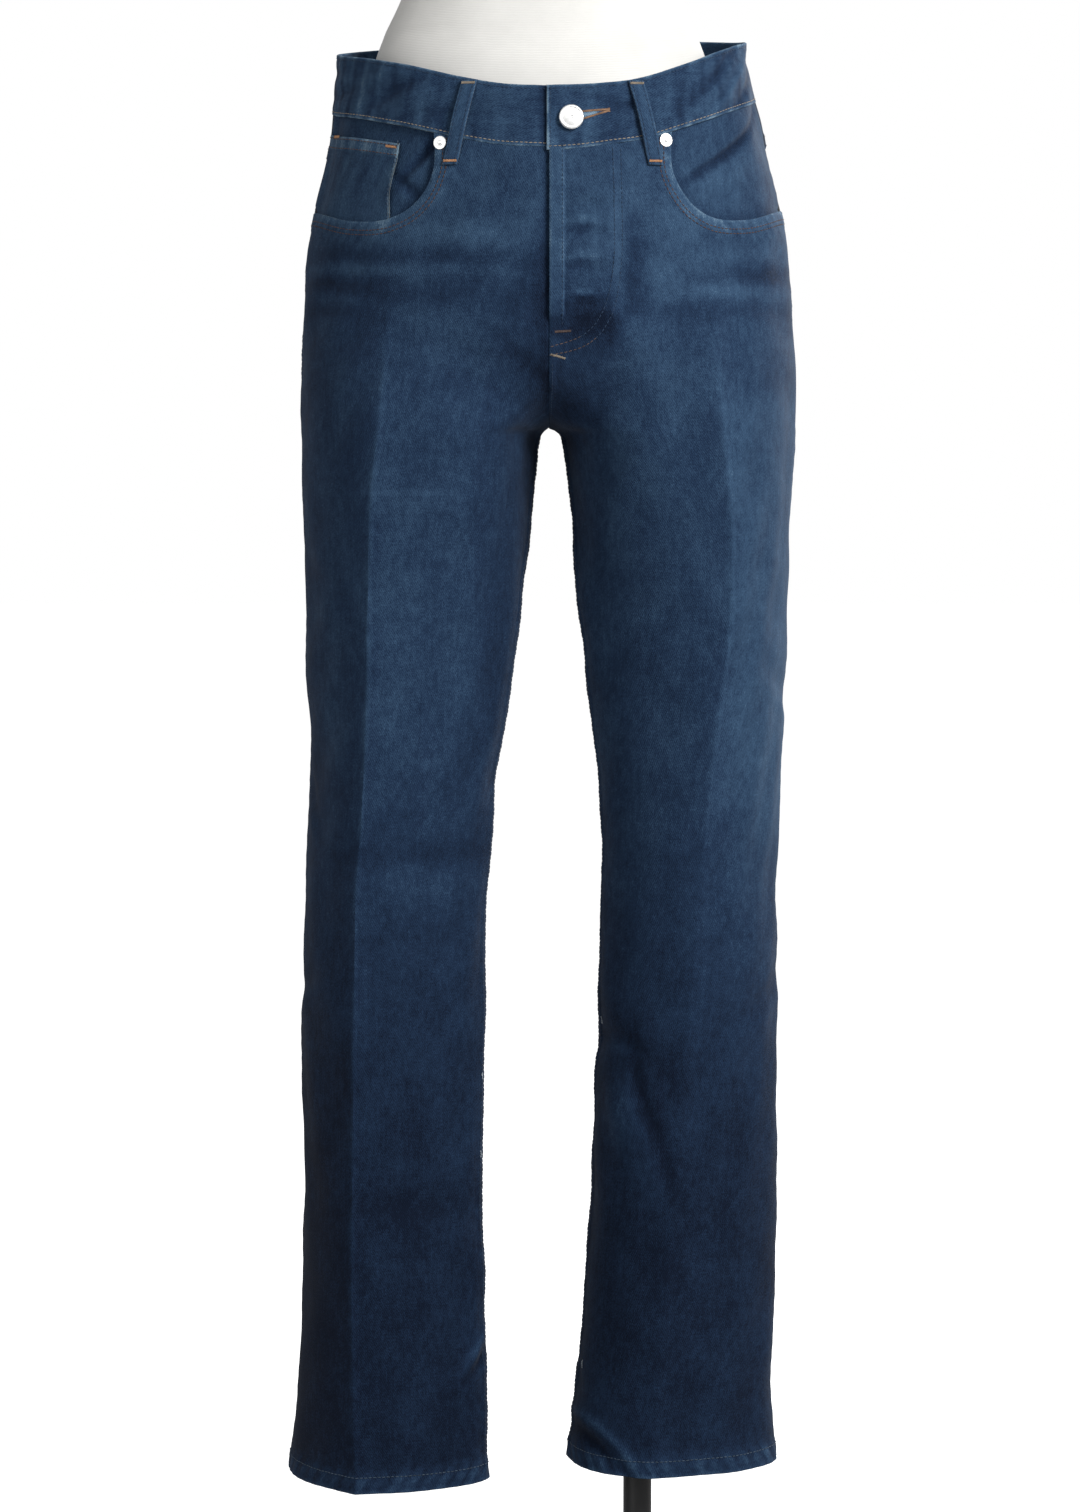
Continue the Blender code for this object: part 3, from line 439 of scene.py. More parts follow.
def quarter(side, face, z, t):
    """Points from the centre seam or inseam (t 0) by the crease (0.5) to the outseam (1)."""
    outer, inner, front_x, front_y, back_x, back_y, twist, press = read_table(LEG[side], z)
    centre = read_table(TORSO, z)[0 if face == FRONT else 1]
    crease_x, crease_y = (front_x, front_y) if face == FRONT else (back_x, back_y)
    worn = 1 - smooth((z - CROTCH_Z) / (HIP_Z - CROTCH_Z))
    press = press * (1 - smooth((z - PRESS_TOP[face]) / PRESS_FADE))
    out_y = face * twist
    oval = np.sqrt(1 - (crease_x / outer) ** 2) * (centre - out_y) + out_y
    crease_y = lerp(oval, crease_y, worn)
    under = np.clip((z - CROTCH_Z) / (FRONT_CURVE if face == FRONT else BACK_CURVE), 0, 1)
    drop = np.clip((CROTCH_Z - z) / LEG_ROUND, 0, 1)
    fallen = smooth((CROTCH_Z - z) / LEG_FADE)
    inseam_y = face * lerp(CROTCH_Y, -twist, fallen)
    risen = smooth((z - CROTCH_Z) / CROTCH_FADE)
    edge_x = inner * (1 - risen)
    edge_shift = inner * np.sqrt(drop * (2 - drop)) - edge_x
    edge_y = lerp(inseam_y, centre, np.sqrt(under * (2 - under)))
    in_x, in_y = crease_x - edge_x, crease_y - edge_y
    out = (outer - crease_x, out_y - crease_y)
    leave = [
        lerp(OVAL_LEAVE[k], lerp(ROUND_LEAVE[k], PRESS_LEAVE[k], press), worn) * out[k]
        for k in (0, 1)
    ]
    reach = lerp(OVAL_REACH, lerp(ROUND_REACH, PRESS_REACH, press), worn)
    outside_x = cubic(crease_x, outer, leave[0], 0.0, 2 * t - 1)
    outside_y = cubic(crease_y, out_y, leave[1], reach * out[1], 2 * t - 1)
    gain = lerp(OVAL_ARRIVE, ROUND_LEAVE[0], worn) * in_x / leave[0]
    pressed = (PRESS_LEAVE[0] * in_x, PRESS_LEAVE[1] * (crease_y - inseam_y))
    arrive = [lerp(leave[k] * gain, pressed[k], press) for k in (0, 1)]
    oval_middle = (centre + crease_y) / 2 - arrive[1] / 8
    middle = lerp(CROTCH_DEPTH * crease_y, oval_middle, smooth(under))
    room = lerp(CROTCH_ROOM, OVAL_CENTRE, risen) * in_x
    away_y = 8 * middle - 4 * (edge_y + crease_y) + arrive[1]
    leg_y = lerp(ROUND_REACH, PRESS_REACH, press) * in_y
    inside_x = cubic(edge_x, crease_x, lerp(room, 0.0, fallen), arrive[0], 2 * t)
    inside_x = inside_x + edge_shift * (1 - 2 * t) ** EDGE_HOLD
    inside_y = cubic(edge_y, crease_y, lerp(away_y, leg_y, fallen), arrive[1], 2 * t)
    x = np.where(t >= 0.5, outside_x, inside_x)
    y = np.where(t >= 0.5, outside_y, inside_y)
    return np.stack([side * x, face * y, z], -1)


def matched(u, z):
    """u and z as floats in arrays of one shape."""
    return (a.astype(float) for a in np.broadcast_arrays(u, z))


def surface(side, u, z):
    u, z = matched(u, z)
    front = quarter(side, FRONT, z, 2 * u)
    back = quarter(side, BACK, z, 2 * (1 - u))
    return np.where((u <= 0.5)[..., None], front, back)


def unit(vectors):
    return vectors / np.linalg.norm(vectors, axis=-1, keepdims=True)


def way_out(side, u, z):
    """The way out of the surface. On the centre seam it lies in the middle plane."""
    u, z = matched(u, z)
    seam = (u <= 0) | (u >= 1)
    centre, inseam = seam & (z >= CROTCH_Z), seam & (z < CROTCH_Z)
    low = np.where(centre, np.maximum(z - NEAR_Z, CROTCH_Z), z - NEAR_Z)
    high = np.where(inseam, np.minimum(z + NEAR_Z, CROTCH_Z), z + NEAR_Z)
    up = surface(side, u, high) - surface(side, u, low)
    ahead = surface(side, np.where(inseam, NEAR_U, np.minimum(u + NEAR_U, 1)), z)
    behind = surface(side, np.where(inseam, 1 - NEAR_U, np.maximum(u - NEAR_U, 0)), z)
    normal = unit(np.cross(ahead - behind, up) * side)
    middle = normal * (0, 1, 1)
    middle = np.where((z == CROTCH_Z)[..., None], (0.0, 0.0, -1.0), middle)
    middle = unit(middle)
    along = np.maximum((normal * middle).sum(-1, keepdims=True), SEAM_MITRE)
    return np.where(centre[..., None], middle / along, normal)


def fold_depth(side, u, z):
    """How far the folds push the cloth in. They run on across the inseam."""
    depth = np.zeros(np.shape(u))
    for fold_side, at_u, at_z, length, width, slant, bend, deep in FOLDS:
        if fold_side != side:
            continue
        for lap in (-1, 0, 1):
            held = 1.0 if lap == 0 else 1 - smooth((z - CROTCH_Z) / LEG_ROUND + 1)
            across = (u + lap - at_u) * FOLD_GIRTH
            depth = depth + deep * held * streak(across, z - at_z, length, width, slant, bend)
    return depth


RIPPLES = np.random.default_rng(RIPPLE_SEED)
ripple_ways = unit(RIPPLES.normal(size=(RIPPLE_WAVES, 3)))
ripple_lengths = RIPPLES.uniform(RIPPLE_SHORT, RIPPLE_LONG, RIPPLE_WAVES)
ripple_starts = RIPPLES.uniform(0, 2 * math.pi, RIPPLE_WAVES)


def ripple(places):
    """The slight unevenness of worn cloth."""
    height = np.zeros(places.shape[:-1])
    for way, length, start in zip(ripple_ways, ripple_lengths, ripple_starts):
        height = height + np.sin(places @ way * (2 * math.pi / length) + start)
    return height * RIPPLE_DEPTH


def on_cloth(side, u, z, lift=0.0):
    """Points on the jeans, moved out by lift."""
    u, z = matched(u, z)
    place = surface(side, u, z)
    height = lift - fold_depth(side, u, z) + ripple(place)
    return place + way_out(side, u, z) * np.asarray(height)[..., None]


# Distances along the cloth at each height, from the centre front or inseam
GIRTH_Z, GIRTH_U = np.linspace(100, 1180, 217), np.linspace(0, 1, 161)
GIRTHS = {}
for side in SIDES:
    mesh_u, mesh_z = np.meshgrid(GIRTH_U, GIRTH_Z)
    steps = np.linalg.norm(np.diff(surface(side, mesh_u, mesh_z), axis=1), axis=2)
    GIRTHS[side] = np.pad(np.cumsum(steps, axis=1), ((0, 0), (1, 0)))


def along(side, u, z):
    """The distance along the cloth from the front edge of a half to a place."""
    u, z = np.broadcast_arrays(u, z)
    row = np.clip((z - GIRTH_Z[0]) / (GIRTH_Z[1] - GIRTH_Z[0]), 0, len(GIRTH_Z) - 1.001)
    column = np.clip(u / GIRTH_U[1], 0, len(GIRTH_U) - 1.001)
    i, j = row.astype(int), column.astype(int)
    low = lerp(GIRTHS[side][i, j], GIRTHS[side][i, j + 1], column - j)
    high = lerp(GIRTHS[side][i + 1, j], GIRTHS[side][i + 1, j + 1], column - j)
    return lerp(low, high, row - i)


def where_reached(rising, shares, target):
    """For each row of a rising table, the share at which it reaches its target."""
    k = np.clip((rising < target[:, None]).sum(1) - 1, 0, len(shares) - 2)
    row = np.arange(len(rising))
    low, high = rising[row, k], rising[row, k + 1]
    return lerp(shares[k], shares[k + 1], np.clip((target - low) / (high - low), 0, 1))


def share_along(side, z, distance, start=0.0):
    """The share u at a distance along the cloth from a start share, at each height."""
    z, distance = np.broadcast_arrays(np.asarray(z, float), distance)
    table = along(side, GIRTH_U[None], z.ravel()[:, None])
    target = along(side, start, z.ravel()) + distance.ravel()
    return where_reached(table, GIRTH_U, target).reshape(z.shape)


def share_at_x(side, z, x):
    """The share u at which the front of a half stands x from the centre."""
    z, x = np.broadcast_arrays(np.asarray(z, float), x)
    front = np.linspace(0, 0.5, 81)
    table = np.abs(surface(side, front[None], z.ravel()[:, None])[..., 0])
    return where_reached(table, front, x.ravel()).reshape(z.shape)


def waist_top(side, u):
    return read_table(WAIST, np.asarray(u, float))[0 if side == RIGHT else 1]


def waist_seam(side, u):
    return waist_top(side, u) - BAND_HEIGHT


def yoke_seam(side, u):
    return waist_seam(side, u) - lerp(YOKE_SIDE, YOKE_CENTRE, 2 * np.asarray(u) - 1)


def mouth_curve(side):
    """The pocket mouth as even steps of (u, z), from the waist seam to the outseam."""
    corners = np.array(MOUTH[side], float)
    gone = gone_along(corners)
    rows = [(a, x, z) for a, (x, z) in zip(gone, corners)]
    x, z = read_table(rows, np.linspace(0, gone[-1], MOUTH_POINTS))
    u = share_at_x(side, z, x)
    u[-1] = 0.5
    inside = z <= waist_seam(side, u)
    first = np.argmax(inside)
    u, z = u[first - 1 :], z[first - 1 :]
    z[0] = waist_seam(side, u[0])
    return u, z


def mouth_distance(side, u, z):
    """Millimetres from a place on the front to the pocket mouth."""
    curve_u, curve_z = MOUTH_CURVES[side]
    curve_a = along(side, curve_u, curve_z)
    a = along(side, u, z)
    near = np.full(np.shape(u), np.inf)
    for at_a, at_z in zip(curve_a, curve_z):
        near = np.minimum(near, np.hypot(a - at_a, z - at_z))
    return near


def roll(distance, radius=EDGE_ROLL):
    """How far a folded edge has turned down, at a distance from it."""
    over = np.clip(1 - distance / radius, 0, 1)
    return radius * (1 - np.sqrt(1 - over**2))


def pucker(run, distance):
    """The ripples beside a row of stitches, run along it and a distance off."""
    wave = np.sin(run * 2 * math.pi / PUCKER_LENGTH + 1.3 * np.sin(run / 17.0))
    return PUCKER * wave * bell(distance, 2 * PUCKER_REACH)


def groove(distance, width=2 * SEAM_SOFT):
    """How deep a seam is drawn in, at a distance from it."""
    return SEAM_SINK * bell(distance, width)


def fell_step(distance):
    """The doubled cloth beside a felled seam."""
    return FELL_LIFT * smooth((FELL + 1 - distance) / FELL_EDGE)


def felled(distance):
    """A seam folded and stitched down to one side."""
    return fell_step(distance) - groove(distance, SEAM_SOFT)


def seat_seam(side, distance):
    """The seat seam is felled on to the wearer's left back."""
    return felled(distance) if side == LEFT else -groove(distance)


def below_crotch(z):
    """0 on the hips and 1 on the legs."""
    return smooth((CROTCH_Z + 6 - z) / 12)


def hem_step(side, z):
    """1 inside the hem's turn-up and 0 above it."""
    return step_down(z, HEM_Z[side] + HEM_DEPTH, HEM_EDGE)


def hem_rope(side, a, z):
    """The slanting ripples of a stitched hem, and the roll of its fold."""
    over = z - HEM_Z[side]
    wave = np.sin((a + HEM_LEAN * over) * 2 * math.pi / HEM_RIPPLE + 1.7 * np.sin(a / 31.0))
    return 0.30 * wave * bell(over - HEM_DEPTH / 2, 1.7 * HEM_DEPTH) - roll(over)


def fly_lift(u, z):
    """The wearer's left front over the fly: a folded edge, then the buttons' facing under it."""
    across = along(LEFT, u, z)
    up = smooth((z - FLY_FOOT_Z) / FLY_RUN)
    strip = FLY_STRIP_LIFT * step_down(across, FLY_STRIP, FOLD_EDGE)
    facing = FLY_FACING_LIFT * step_down(across, FLY_FACING, FLY_SOFT)
    beside = FLY_GROOVE * bell(across - FLY_STRIP - 1.2, 2.6)
    lift = (strip + facing - beside) * up
    bar = bell(across - FLY_BAR_X, FLY_BAR_WIDTH) * up
    for at in FLY_BUTTONS:
        for off, raised, width in FLY_BAR:
            lift = lift + raised * bell(z - at - off, width) * bar
    above = smooth((z - CROTCH_Z) / CROTCH_RUN)
    lap = LAP_LIFT * step_down(across, LAP_WIDTH, 2) * above * (1 - up)
    return lift + lap - roll(across) * above


def front_lift(side, u, z):
    """How far the outer face of a front stands out at its folds and seams."""
    a = along(side, u, z)
    to_side = along(side, 0.5, z) - a
    on_leg = below_crotch(z)
    lift = HEM_LIFT * hem_step(side, z) + hem_rope(side, a, z)
    lift = lift + (felled(a) + pucker(z, a)) * on_leg
    lift = lift - groove(to_side) + pucker(z + 5, to_side)
    mouth = mouth_distance(side, u, z)
    lift = lift + MOUTH_LIFT * step_down(mouth, MOUTH_FOLD, FOLD_EDGE) - roll(mouth)
    lift = lift + pucker(a + z, mouth - MOUTH_FOLD)
    if side == LEFT:
        lift = lift + fly_lift(u, z) * (1 - on_leg)
    else:
        lift = lift - groove(a, 3.0) * (1 - on_leg)
    return lift


def back_lift(side, u, z):
    a = along(side, u, z)
    to_seam = along(side, 1.0, z) - a
    to_side = a - along(side, 0.5, z)
    on_leg = below_crotch(z)
    lift = HEM_LIFT * hem_step(side, z) + hem_rope(side, a, z)
    lift = lift + (pucker(z, to_seam) - groove(to_seam)) * on_leg
    lift = lift + (seat_seam(side, to_seam) + pucker(z, to_seam)) * (1 - on_leg)
    lift = lift - groove(to_side) + pucker(z + 5, to_side)
    to_yoke = yoke_seam(side, u) - z
    return lift - groove(to_yoke) + pucker(a, to_yoke)


def columns_of(stretches):
    """Values along stretches of (start, end, steps), each once."""
    values = [np.linspace(start, end, steps, endpoint=False) for start, end, steps in stretches]
    return np.append(np.concatenate(values), stretches[-1][1])


def leg_rows(side):
    """Heights from the hips to the hem. Those at 0 and below count from the hem's top."""
    hem_top = HEM_Z[side] + HEM_DEPTH
    placed = [(a if a > 0 else hem_top + a, b if b > 0 else hem_top + b, n) for a, b, n in LEG_ROWS]
    return columns_of(placed)


def panel_grid(side, columns, top):
    """(u, z) in rows from a panel's top edge, by the hips, to its hem."""
    down = np.linspace(0, 1, HIP_ROWS, endpoint=False)[:, None]
    high = lerp(top[None], HIP_Z, down)
    z = np.concatenate([high, np.repeat(leg_rows(side)[:, None], len(columns), axis=1)])
    return np.broadcast_to(columns, z.shape), z


def grid_faces(rows, columns):
    corner = (np.arange(rows - 1)[:, None] * columns + np.arange(columns - 1)).ravel()
    return np.stack([corner, corner + 1, corner + columns + 1, corner + columns], -1)


def shell(name, outer, inner, faces, uv, wear_and_shading, look, inside=1.0):
    """A closed piece of cloth over one set of faces, with its outer and its inner points, its weave
    coordinates in metres, the tone of each outer point from its wear and from painted light and shade,
    and whether its inside is the reverse of the twill."""
    outer, inner, uv = (np.asarray(a, float).reshape(len(outer), -1) for a in (outer, inner, uv))
    faces = np.asarray(faces)
    corners = outer[faces[:, :3]]
    turned = np.cross(corners[:, 1] - corners[:, 0], corners[:, 2] - corners[:, 0])
    if (turned * (outer - inner)[faces[:, 0]]).sum() < 0:
        faces = faces[:, ::-1]
    count = len(outer)
    edges = np.stack([faces, np.roll(faces, -1, axis=1)], -1).reshape(-1, 2)
    forward, backward = edges @ (count, 1), edges @ (1, count)
    rim = edges[~np.isin(forward, backward)]
    sides = np.stack([rim[:, 1], rim[:, 0], rim[:, 0] + count, rim[:, 1] + count], -1)
    mesh = bpy.data.meshes.new(name)
    all_faces = [*faces.tolist(), *(faces[:, ::-1] + count).tolist(), *sides.tolist()]
    mesh.from_pydata((np.concatenate([outer, inner]) * MM).tolist(), [], all_faces)
    corner_points = np.zeros(len(mesh.loops), int)
    mesh.loops.foreach_get("vertex_index", corner_points)
    weave = mesh.uv_layers.new(name="weave")
    weave.data.foreach_set("uv", uv[corner_points % count].ravel())
    # the worn attribute holds the tone: wear, together with painted light and shade
    worn = mesh.attributes.new("worn", "FLOAT", "POINT")
    worn.data.foreach_set("value", np.tile(np.broadcast_to(wear_and_shading, count), 2))
    reverse = mesh.attributes.new("reverse", "FLOAT", "POINT")
    reverse.data.foreach_set("value", np.repeat([0.0, inside], count))
    mesh.shade_smooth()
    mesh.set_sharp_from_angle(angle=math.radians(CLOTH_SHARP))
    mesh.materials.append(look)
    return link_object(name, mesh)


def math_node(tree, operation, a, b=0.0):
    return add_node(tree, "ShaderNodeMath", {0: a, 1: b}, operation=operation).outputs[0]


def grain(tree, vector, scale, detail=3.0):
    """Noise from 0 to 1 at a place."""
    inputs = {"Vector": vector, "Scale": scale, "Detail": detail, "Roughness": 0.6}
    return add_node(tree, "ShaderNodeTexNoise", inputs).outputs[0]


def drawn_down(tree, vector, share):
    """A place at which noise is drawn out down the cloth, the more the smaller the share."""
    inputs = {0: vector, 1: (1, share, 1)}
    return add_node(tree, "ShaderNodeVectorMath", inputs, operation="MULTIPLY").outputs[0]


def bumps(tree, height, strength, deep):
    """Normals of a surface whose height goes from 0 to 1, deep in metres."""
    inputs = {"Strength": strength, "Distance": deep, "Height": height}
    return add_node(tree, "ShaderNodeBump", inputs).outputs[0]


# Indigo twill: slanting wales, slubby warp yarns that run down the cloth, and cloudy dye
WALE_ACROSS, WALE_ALONG = 620.0, 360.0  # wales in each metre across the cloth and along it
WALE_TONE, WALE_HEIGHT, SPECK_HEIGHT = 0.04, 0.35, 1.2
TWILL_GRAIN = (  # share of its scale down the cloth, scale, detail, how much it shows
    ("specks", 0.7, 1000.0, 3.0, 0.62),
    ("slubs", 0.14, 520.0, 3.0, 0.22),
    ("blots", 0.7, 190.0, 4.0, 0.34),
    ("clouds", 0.6, 34.0, 5.0, 0.40),
)
twill = bpy.data.node_groups.new("indigo_twill", "ShaderNodeTree")
for name, way, kind in (
    ("Place", "INPUT", "NodeSocketVector"),
    ("Wear and shading", "INPUT", "NodeSocketFloat"),
    ("Tone", "OUTPUT", "NodeSocketFloat"),
    ("Height", "OUTPUT", "NodeSocketFloat"),
):
    twill.interface.new_socket(name, in_out=way, socket_type=kind)
given = twill.nodes.new("NodeGroupInput")
place, wear_and_shading_in = given.outputs["Place"], given.outputs["Wear and shading"]
apart = add_node(twill, "ShaderNodeSeparateXYZ", {0: place})
across = math_node(twill, "MULTIPLY", apart.outputs[0], WALE_ACROSS * 2 * math.pi)
down = math_node(twill, "MULTIPLY", apart.outputs[1], WALE_ALONG * 2 * math.pi)
jitter = math_node(twill, "MULTIPLY", grain(twill, place, 500.0), 2.0)
phase = math_node(twill, "ADD", math_node(twill, "ADD", across, down), jitter)
wales = math_node(twill, "SINE", phase)
tone, yarns = wear_and_shading_in, {}
for name, down_it, scale, detail, weight in TWILL_GRAIN:
    yarns[name] = grain(twill, drawn_down(twill, place, down_it), scale, detail)
    centred = math_node(twill, "SUBTRACT", yarns[name], 0.5)
    tone = math_node(twill, "ADD", tone, math_node(twill, "MULTIPLY", centred, weight))
tone = math_node(twill, "ADD", tone, math_node(twill, "MULTIPLY", wales, WALE_TONE))
height = math_node(twill, "ADD", math_node(twill, "MULTIPLY", wales, WALE_HEIGHT), yarns["slubs"])
raised = math_node(twill, "MULTIPLY", yarns["specks"], SPECK_HEIGHT)
height = math_node(twill, "ADD", height, raised)
add_node(twill, "NodeGroupOutput", {"Tone": tone, "Height": height})

denim, tree = new_material("indigo_denim")
weave_place = add_node(tree, "ShaderNodeUVMap", uv_map="weave").outputs[0]
# the worn attribute brings wear, and painted light and shade, into the twill's tone
wear_and_shading_here = add_node(tree, "ShaderNodeAttribute", attribute_name="worn").outputs["Fac"]
group = add_node(tree, "ShaderNodeGroup", node_tree=twill)
tree.links.new(weave_place, group.inputs["Place"])
tree.links.new(wear_and_shading_here, group.inputs["Wear and shading"])
ramp = add_node(tree, "ShaderNodeValToRGB", {"Fac": group.outputs["Tone"]})
while len(ramp.color_ramp.elements) < len(DENIM_TONES):
    ramp.color_ramp.elements.new(0.5)
for element, (position, colour) in zip(ramp.color_ramp.elements, DENIM_TONES):
    element.position = position
    element.color = (*colour, 1)
reverse_here = add_node(tree, "ShaderNodeAttribute", attribute_name="reverse").outputs["Fac"]
sides_mix = add_node(tree, "ShaderNodeMix", {"Factor": reverse_here}, data_type="RGBA")
tree.links.new(ramp.outputs[0], sides_mix.inputs[6])
sides_mix.inputs[7].default_value = (*DENIM_REVERSE, 1)
surface_look(
    tree,
    {
        "Base Color": sides_mix.outputs[2],
        "Roughness": 0.82,
        "Specular IOR Level": 0.06,
        "Sheen Weight": 0.03,
        "Sheen Roughness": 0.5,
        "Normal": bumps(tree, group.outputs["Height"], 0.5, 0.0003),
    },
)

# Faded bands, and darker ones where the last number is negative, across the hips and down the legs.
# Where they lie in folds, whiskers and the crotch the darker bands are painted shade, and on sharp fold
# ridges the paler ones are painted highlights: side, u, z, length, width, slant, bend, how much paler
WEAR_AND_SHADING_BANDS = (
    # the hips: faded whisker bands, with painted shade in the whisker folds between them
    (RIGHT, 0.16, 1021, 120, 16, 2, -4, 0.13),
    (RIGHT, 0.17, 1004, 160, 11, 2, -3, -0.06),
    (RIGHT, 0.22, 995, 190, 11, 0, -4, 0.11),
    (RIGHT, 0.25, 979, 160, 11, 2, -4, -0.07),
    (RIGHT, 0.20, 960, 150, 20, 6, -6, 0.06),
    (RIGHT, 0.14, 930, 150, 20, 16, -6, 0.06),
    (RIGHT, 0.36, 1008, 90, 10, 1, -3, -0.10),
    (RIGHT, 0.36, 998, 80, 8, 1, -3, 0.10),
    (RIGHT, 0.36, 987, 90, 11, 1, -3, -0.13),
    (RIGHT, 0.36, 976, 80, 8, 2, -3, 0.10),
    (RIGHT, 0.36, 966, 90, 10, 3, -3, -0.12),
    (RIGHT, 0.05, 936, 60, 13, 40, 0, -0.12),
    (LEFT, 0.17, 1024, 60, 30, 0, 0, 0.07),
    (LEFT, 0.33, 1006, 150, 11, 4, -4, 0.10),
    (LEFT, 0.38, 993, 110, 12, 2, -4, -0.12),
    (LEFT, 0.33, 980, 150, 10, 0, -4, 0.11),
    (LEFT, 0.30, 965, 150, 13, 0, -4, -0.08),
    (LEFT, 0.12, 1000, 60, 26, -30, 0, 0.07),
    (LEFT, 0.22, 984, 90, 22, -4, 0, 0.10),
    (LEFT, 0.20, 955, 140, 22, 8, -6, 0.05),
    (LEFT, 0.13, 925, 120, 22, 20, -6, 0.05),
    # painted shade beside the crotch
    (LEFT, 0.03, 902, 52, 76, 0, 0, -0.19),
    # paler and darker stretches down the legs
    (RIGHT, 0.20, 880, 90, 330, 0, 0, 0.04),
    (RIGHT, 0.20, 720, 60, 260, 0, 0, 0.06),
    (RIGHT, 0.06, 760, 70, 330, 0, 0, -0.05),
    (RIGHT, 0.36, 760, 70, 420, 0, 0, 0.04),
    (RIGHT, 0.06, 320, 60, 240, 0, 0, 0.04),
    (RIGHT, 0.21, 838, 64, 5, 4, -3, 0.10),
    (RIGHT, 0.19, 829, 50, 4, 10, -2, 0.08),
    (RIGHT, 0.15, 555, 90, 44, 0, 0, 0.06),
    (RIGHT, 0.42, 250, 100, 460, 0, 0, -0.09),
    (RIGHT, 0.33, 680, 26, 260, 0, 0, 0.06),
    (LEFT, 0.20, 900, 120, 300, 0, 0, 0.08),
    (LEFT, 0.14, 590, 100, 120, 0, 0, 0.04),
    (LEFT, 0.47, 760, 16, 420, 0, 0, 0.16),
    (LEFT, 0.38, 720, 90, 500, 0, 0, 0.10),
    (LEFT, 0.40, 585, 80, 260, 0, 0, 0.07),
    (LEFT, 0.06, 720, 70, 460, 0, 0, 0.05),
    (LEFT, 0.13, 374, 40, 74, 20, 0, 0.12),
    (LEFT, 0.07, 240, 60, 160, 0, 0, 0.07),
    (LEFT, 0.42, 170, 60, 120, 0, 0, 0.05),
    (LEFT, 0.24, 322, 60, 140, 0, 0, -0.04),
    # painted shade in the hollows, and rubbed ridges with painted highlights, of the sharpest folds on
    # the legs
    (RIGHT, 0.15, 577, 110, 18, 0, 0, -0.09),
    (RIGHT, 0.18, 316, 64, 12, 2, -4, -0.02),
    (RIGHT, 0.17, 342, 90, 30, 2, -4, 0.05),
    (RIGHT, 0.065, 208, 42, 7, -38, 0, 0.17),
    (RIGHT, 0.055, 197, 46, 10, -30, 0, -0.08),
    # darker above the wearer's right hem; then painted light in the wearer's left calf hollow, painted
    # shade in its calf folds, and a painted highlight and shade on the ridge and trough over its hem
    (RIGHT, 0.25, 165, 220, 120, 0, 0, -0.03),
    (LEFT, 0.09, 434, 66, 14, 2, -10, 0.10),
    (LEFT, 0.17, 400, 84, 12, -66, 6, -0.07),
    (LEFT, 0.225, 354, 90, 12, -66, 0, -0.07),
    (LEFT, 0.13, 154, 116, 7, -17, -17, 0.20),
    (LEFT, 0.12, 141, 104, 9, -17, -13, -0.12),
    # the seat and the backs of the thighs
    (RIGHT, 0.75, 950, 150, 150, 0, 0, 0.13),
    (LEFT, 0.75, 950, 150, 150, 0, 0, 0.13),
    (RIGHT, 0.78, 760, 120, 300, 0, 0, 0.08),
    (LEFT, 0.78, 760, 120, 300, 0, 0, 0.08),
)
BASE_TONE, FOOT_TONE = 0.29, 0.09  # the tone of plain cloth at the thigh, and at the hem, where it is darker as painted shade of the light falling off down the legs
HIP_GAIN, BAND_GAIN = 0.11, 0.12  # how much more worn the hips and the band are
FACET_SHADING = {RIGHT: (-0.015, 1026, 60), LEFT: (0.08, 920, 470)}  # painted light outside the crease on the wearer's left leg, whose outer facet faces the key, and painted shade on the wearer's right one: gain, top, foot
PRESS_LINE = {RIGHT: (0.13, 100.0), LEFT: (0.09, 560.0)}  # a pale line down the front crease, rubbed and with a painted highlight: how pale, and down to what height
# the height below which the painted shade towards the hem is full, and over what height it gives way;
# where the hips' wear begins, and over what height
FOOT_SHADE_Z, FOOT_SHADE_RISE, HIP_WEAR_Z, HIP_WEAR_RISE = 260, 430, 985, 50
BEHIND_RUN = 0.12  # share past the outseam by which the front's wear has passed into the back's
FOLD_SHADING_TONE = (0.030, 0.055)  # painted shade in the folds and painted light on the ridges: how much darker each millimetre of a fold's depth is, front and back


def blotches(run, length):
    """Uneven wear along an edge, from 0 to 1."""
    turn = 2 * math.pi * run / length
    wave = np.sin(turn) + 0.6 * np.sin(2.31 * turn + 1.0) + 0.5 * np.sin(0.43 * turn + 2.0)
    return np.clip(0.5 + wave / 3, 0, 1)


# Tone of plain cloth: wear, with painted shade towards the hem and in folds, and painted light and shade
# on the facets outside the creases and in the bands
def plain_wear_and_shading(side, u, z):
    # darker towards the hem: painted shade of the light falling off down the legs
    tone = lerp(FOOT_TONE, BASE_TONE, smooth((z - FOOT_SHADE_Z) / FOOT_SHADE_RISE)) + np.zeros(np.shape(u))
    tone = tone + HIP_GAIN * smooth((z - HIP_WEAR_Z) / HIP_WEAR_RISE)
    for band_side, at_u, at_z, length, width, slant, bend, gain in WEAR_AND_SHADING_BANDS:
        if band_side == side:
            across = (u - at_u) * FOLD_GIRTH
            tone = tone + gain * streak(across, z - at_z, length, width, slant, bend)
    # painted light and shade on the facet outside the crease
    gain_out, top, low = FACET_SHADING[side]
    behind = smooth((np.asarray(u) - 0.5) / BEHIND_RUN)
    facet = smooth((np.asarray(u) - 0.25) * FOLD_GIRTH / 5 + 0.5) * (1 - behind)
    tone = tone + gain_out * facet * smooth((top - z) / 30) * smooth((z - low) / 200)
    # painted shade in the folds' troughs, and painted light on their ridges
    return tone - lerp(*FOLD_SHADING_TONE, behind) * np.clip(fold_depth(side, u, z), -2, 2)


def edge_wear(distance, run, gain=0.3, width=3.0):
    """The light line on a worn edge, in blotches along its run."""
    return gain * bell(distance, width) * (0.45 + 0.55 * blotches(run, 23.0))


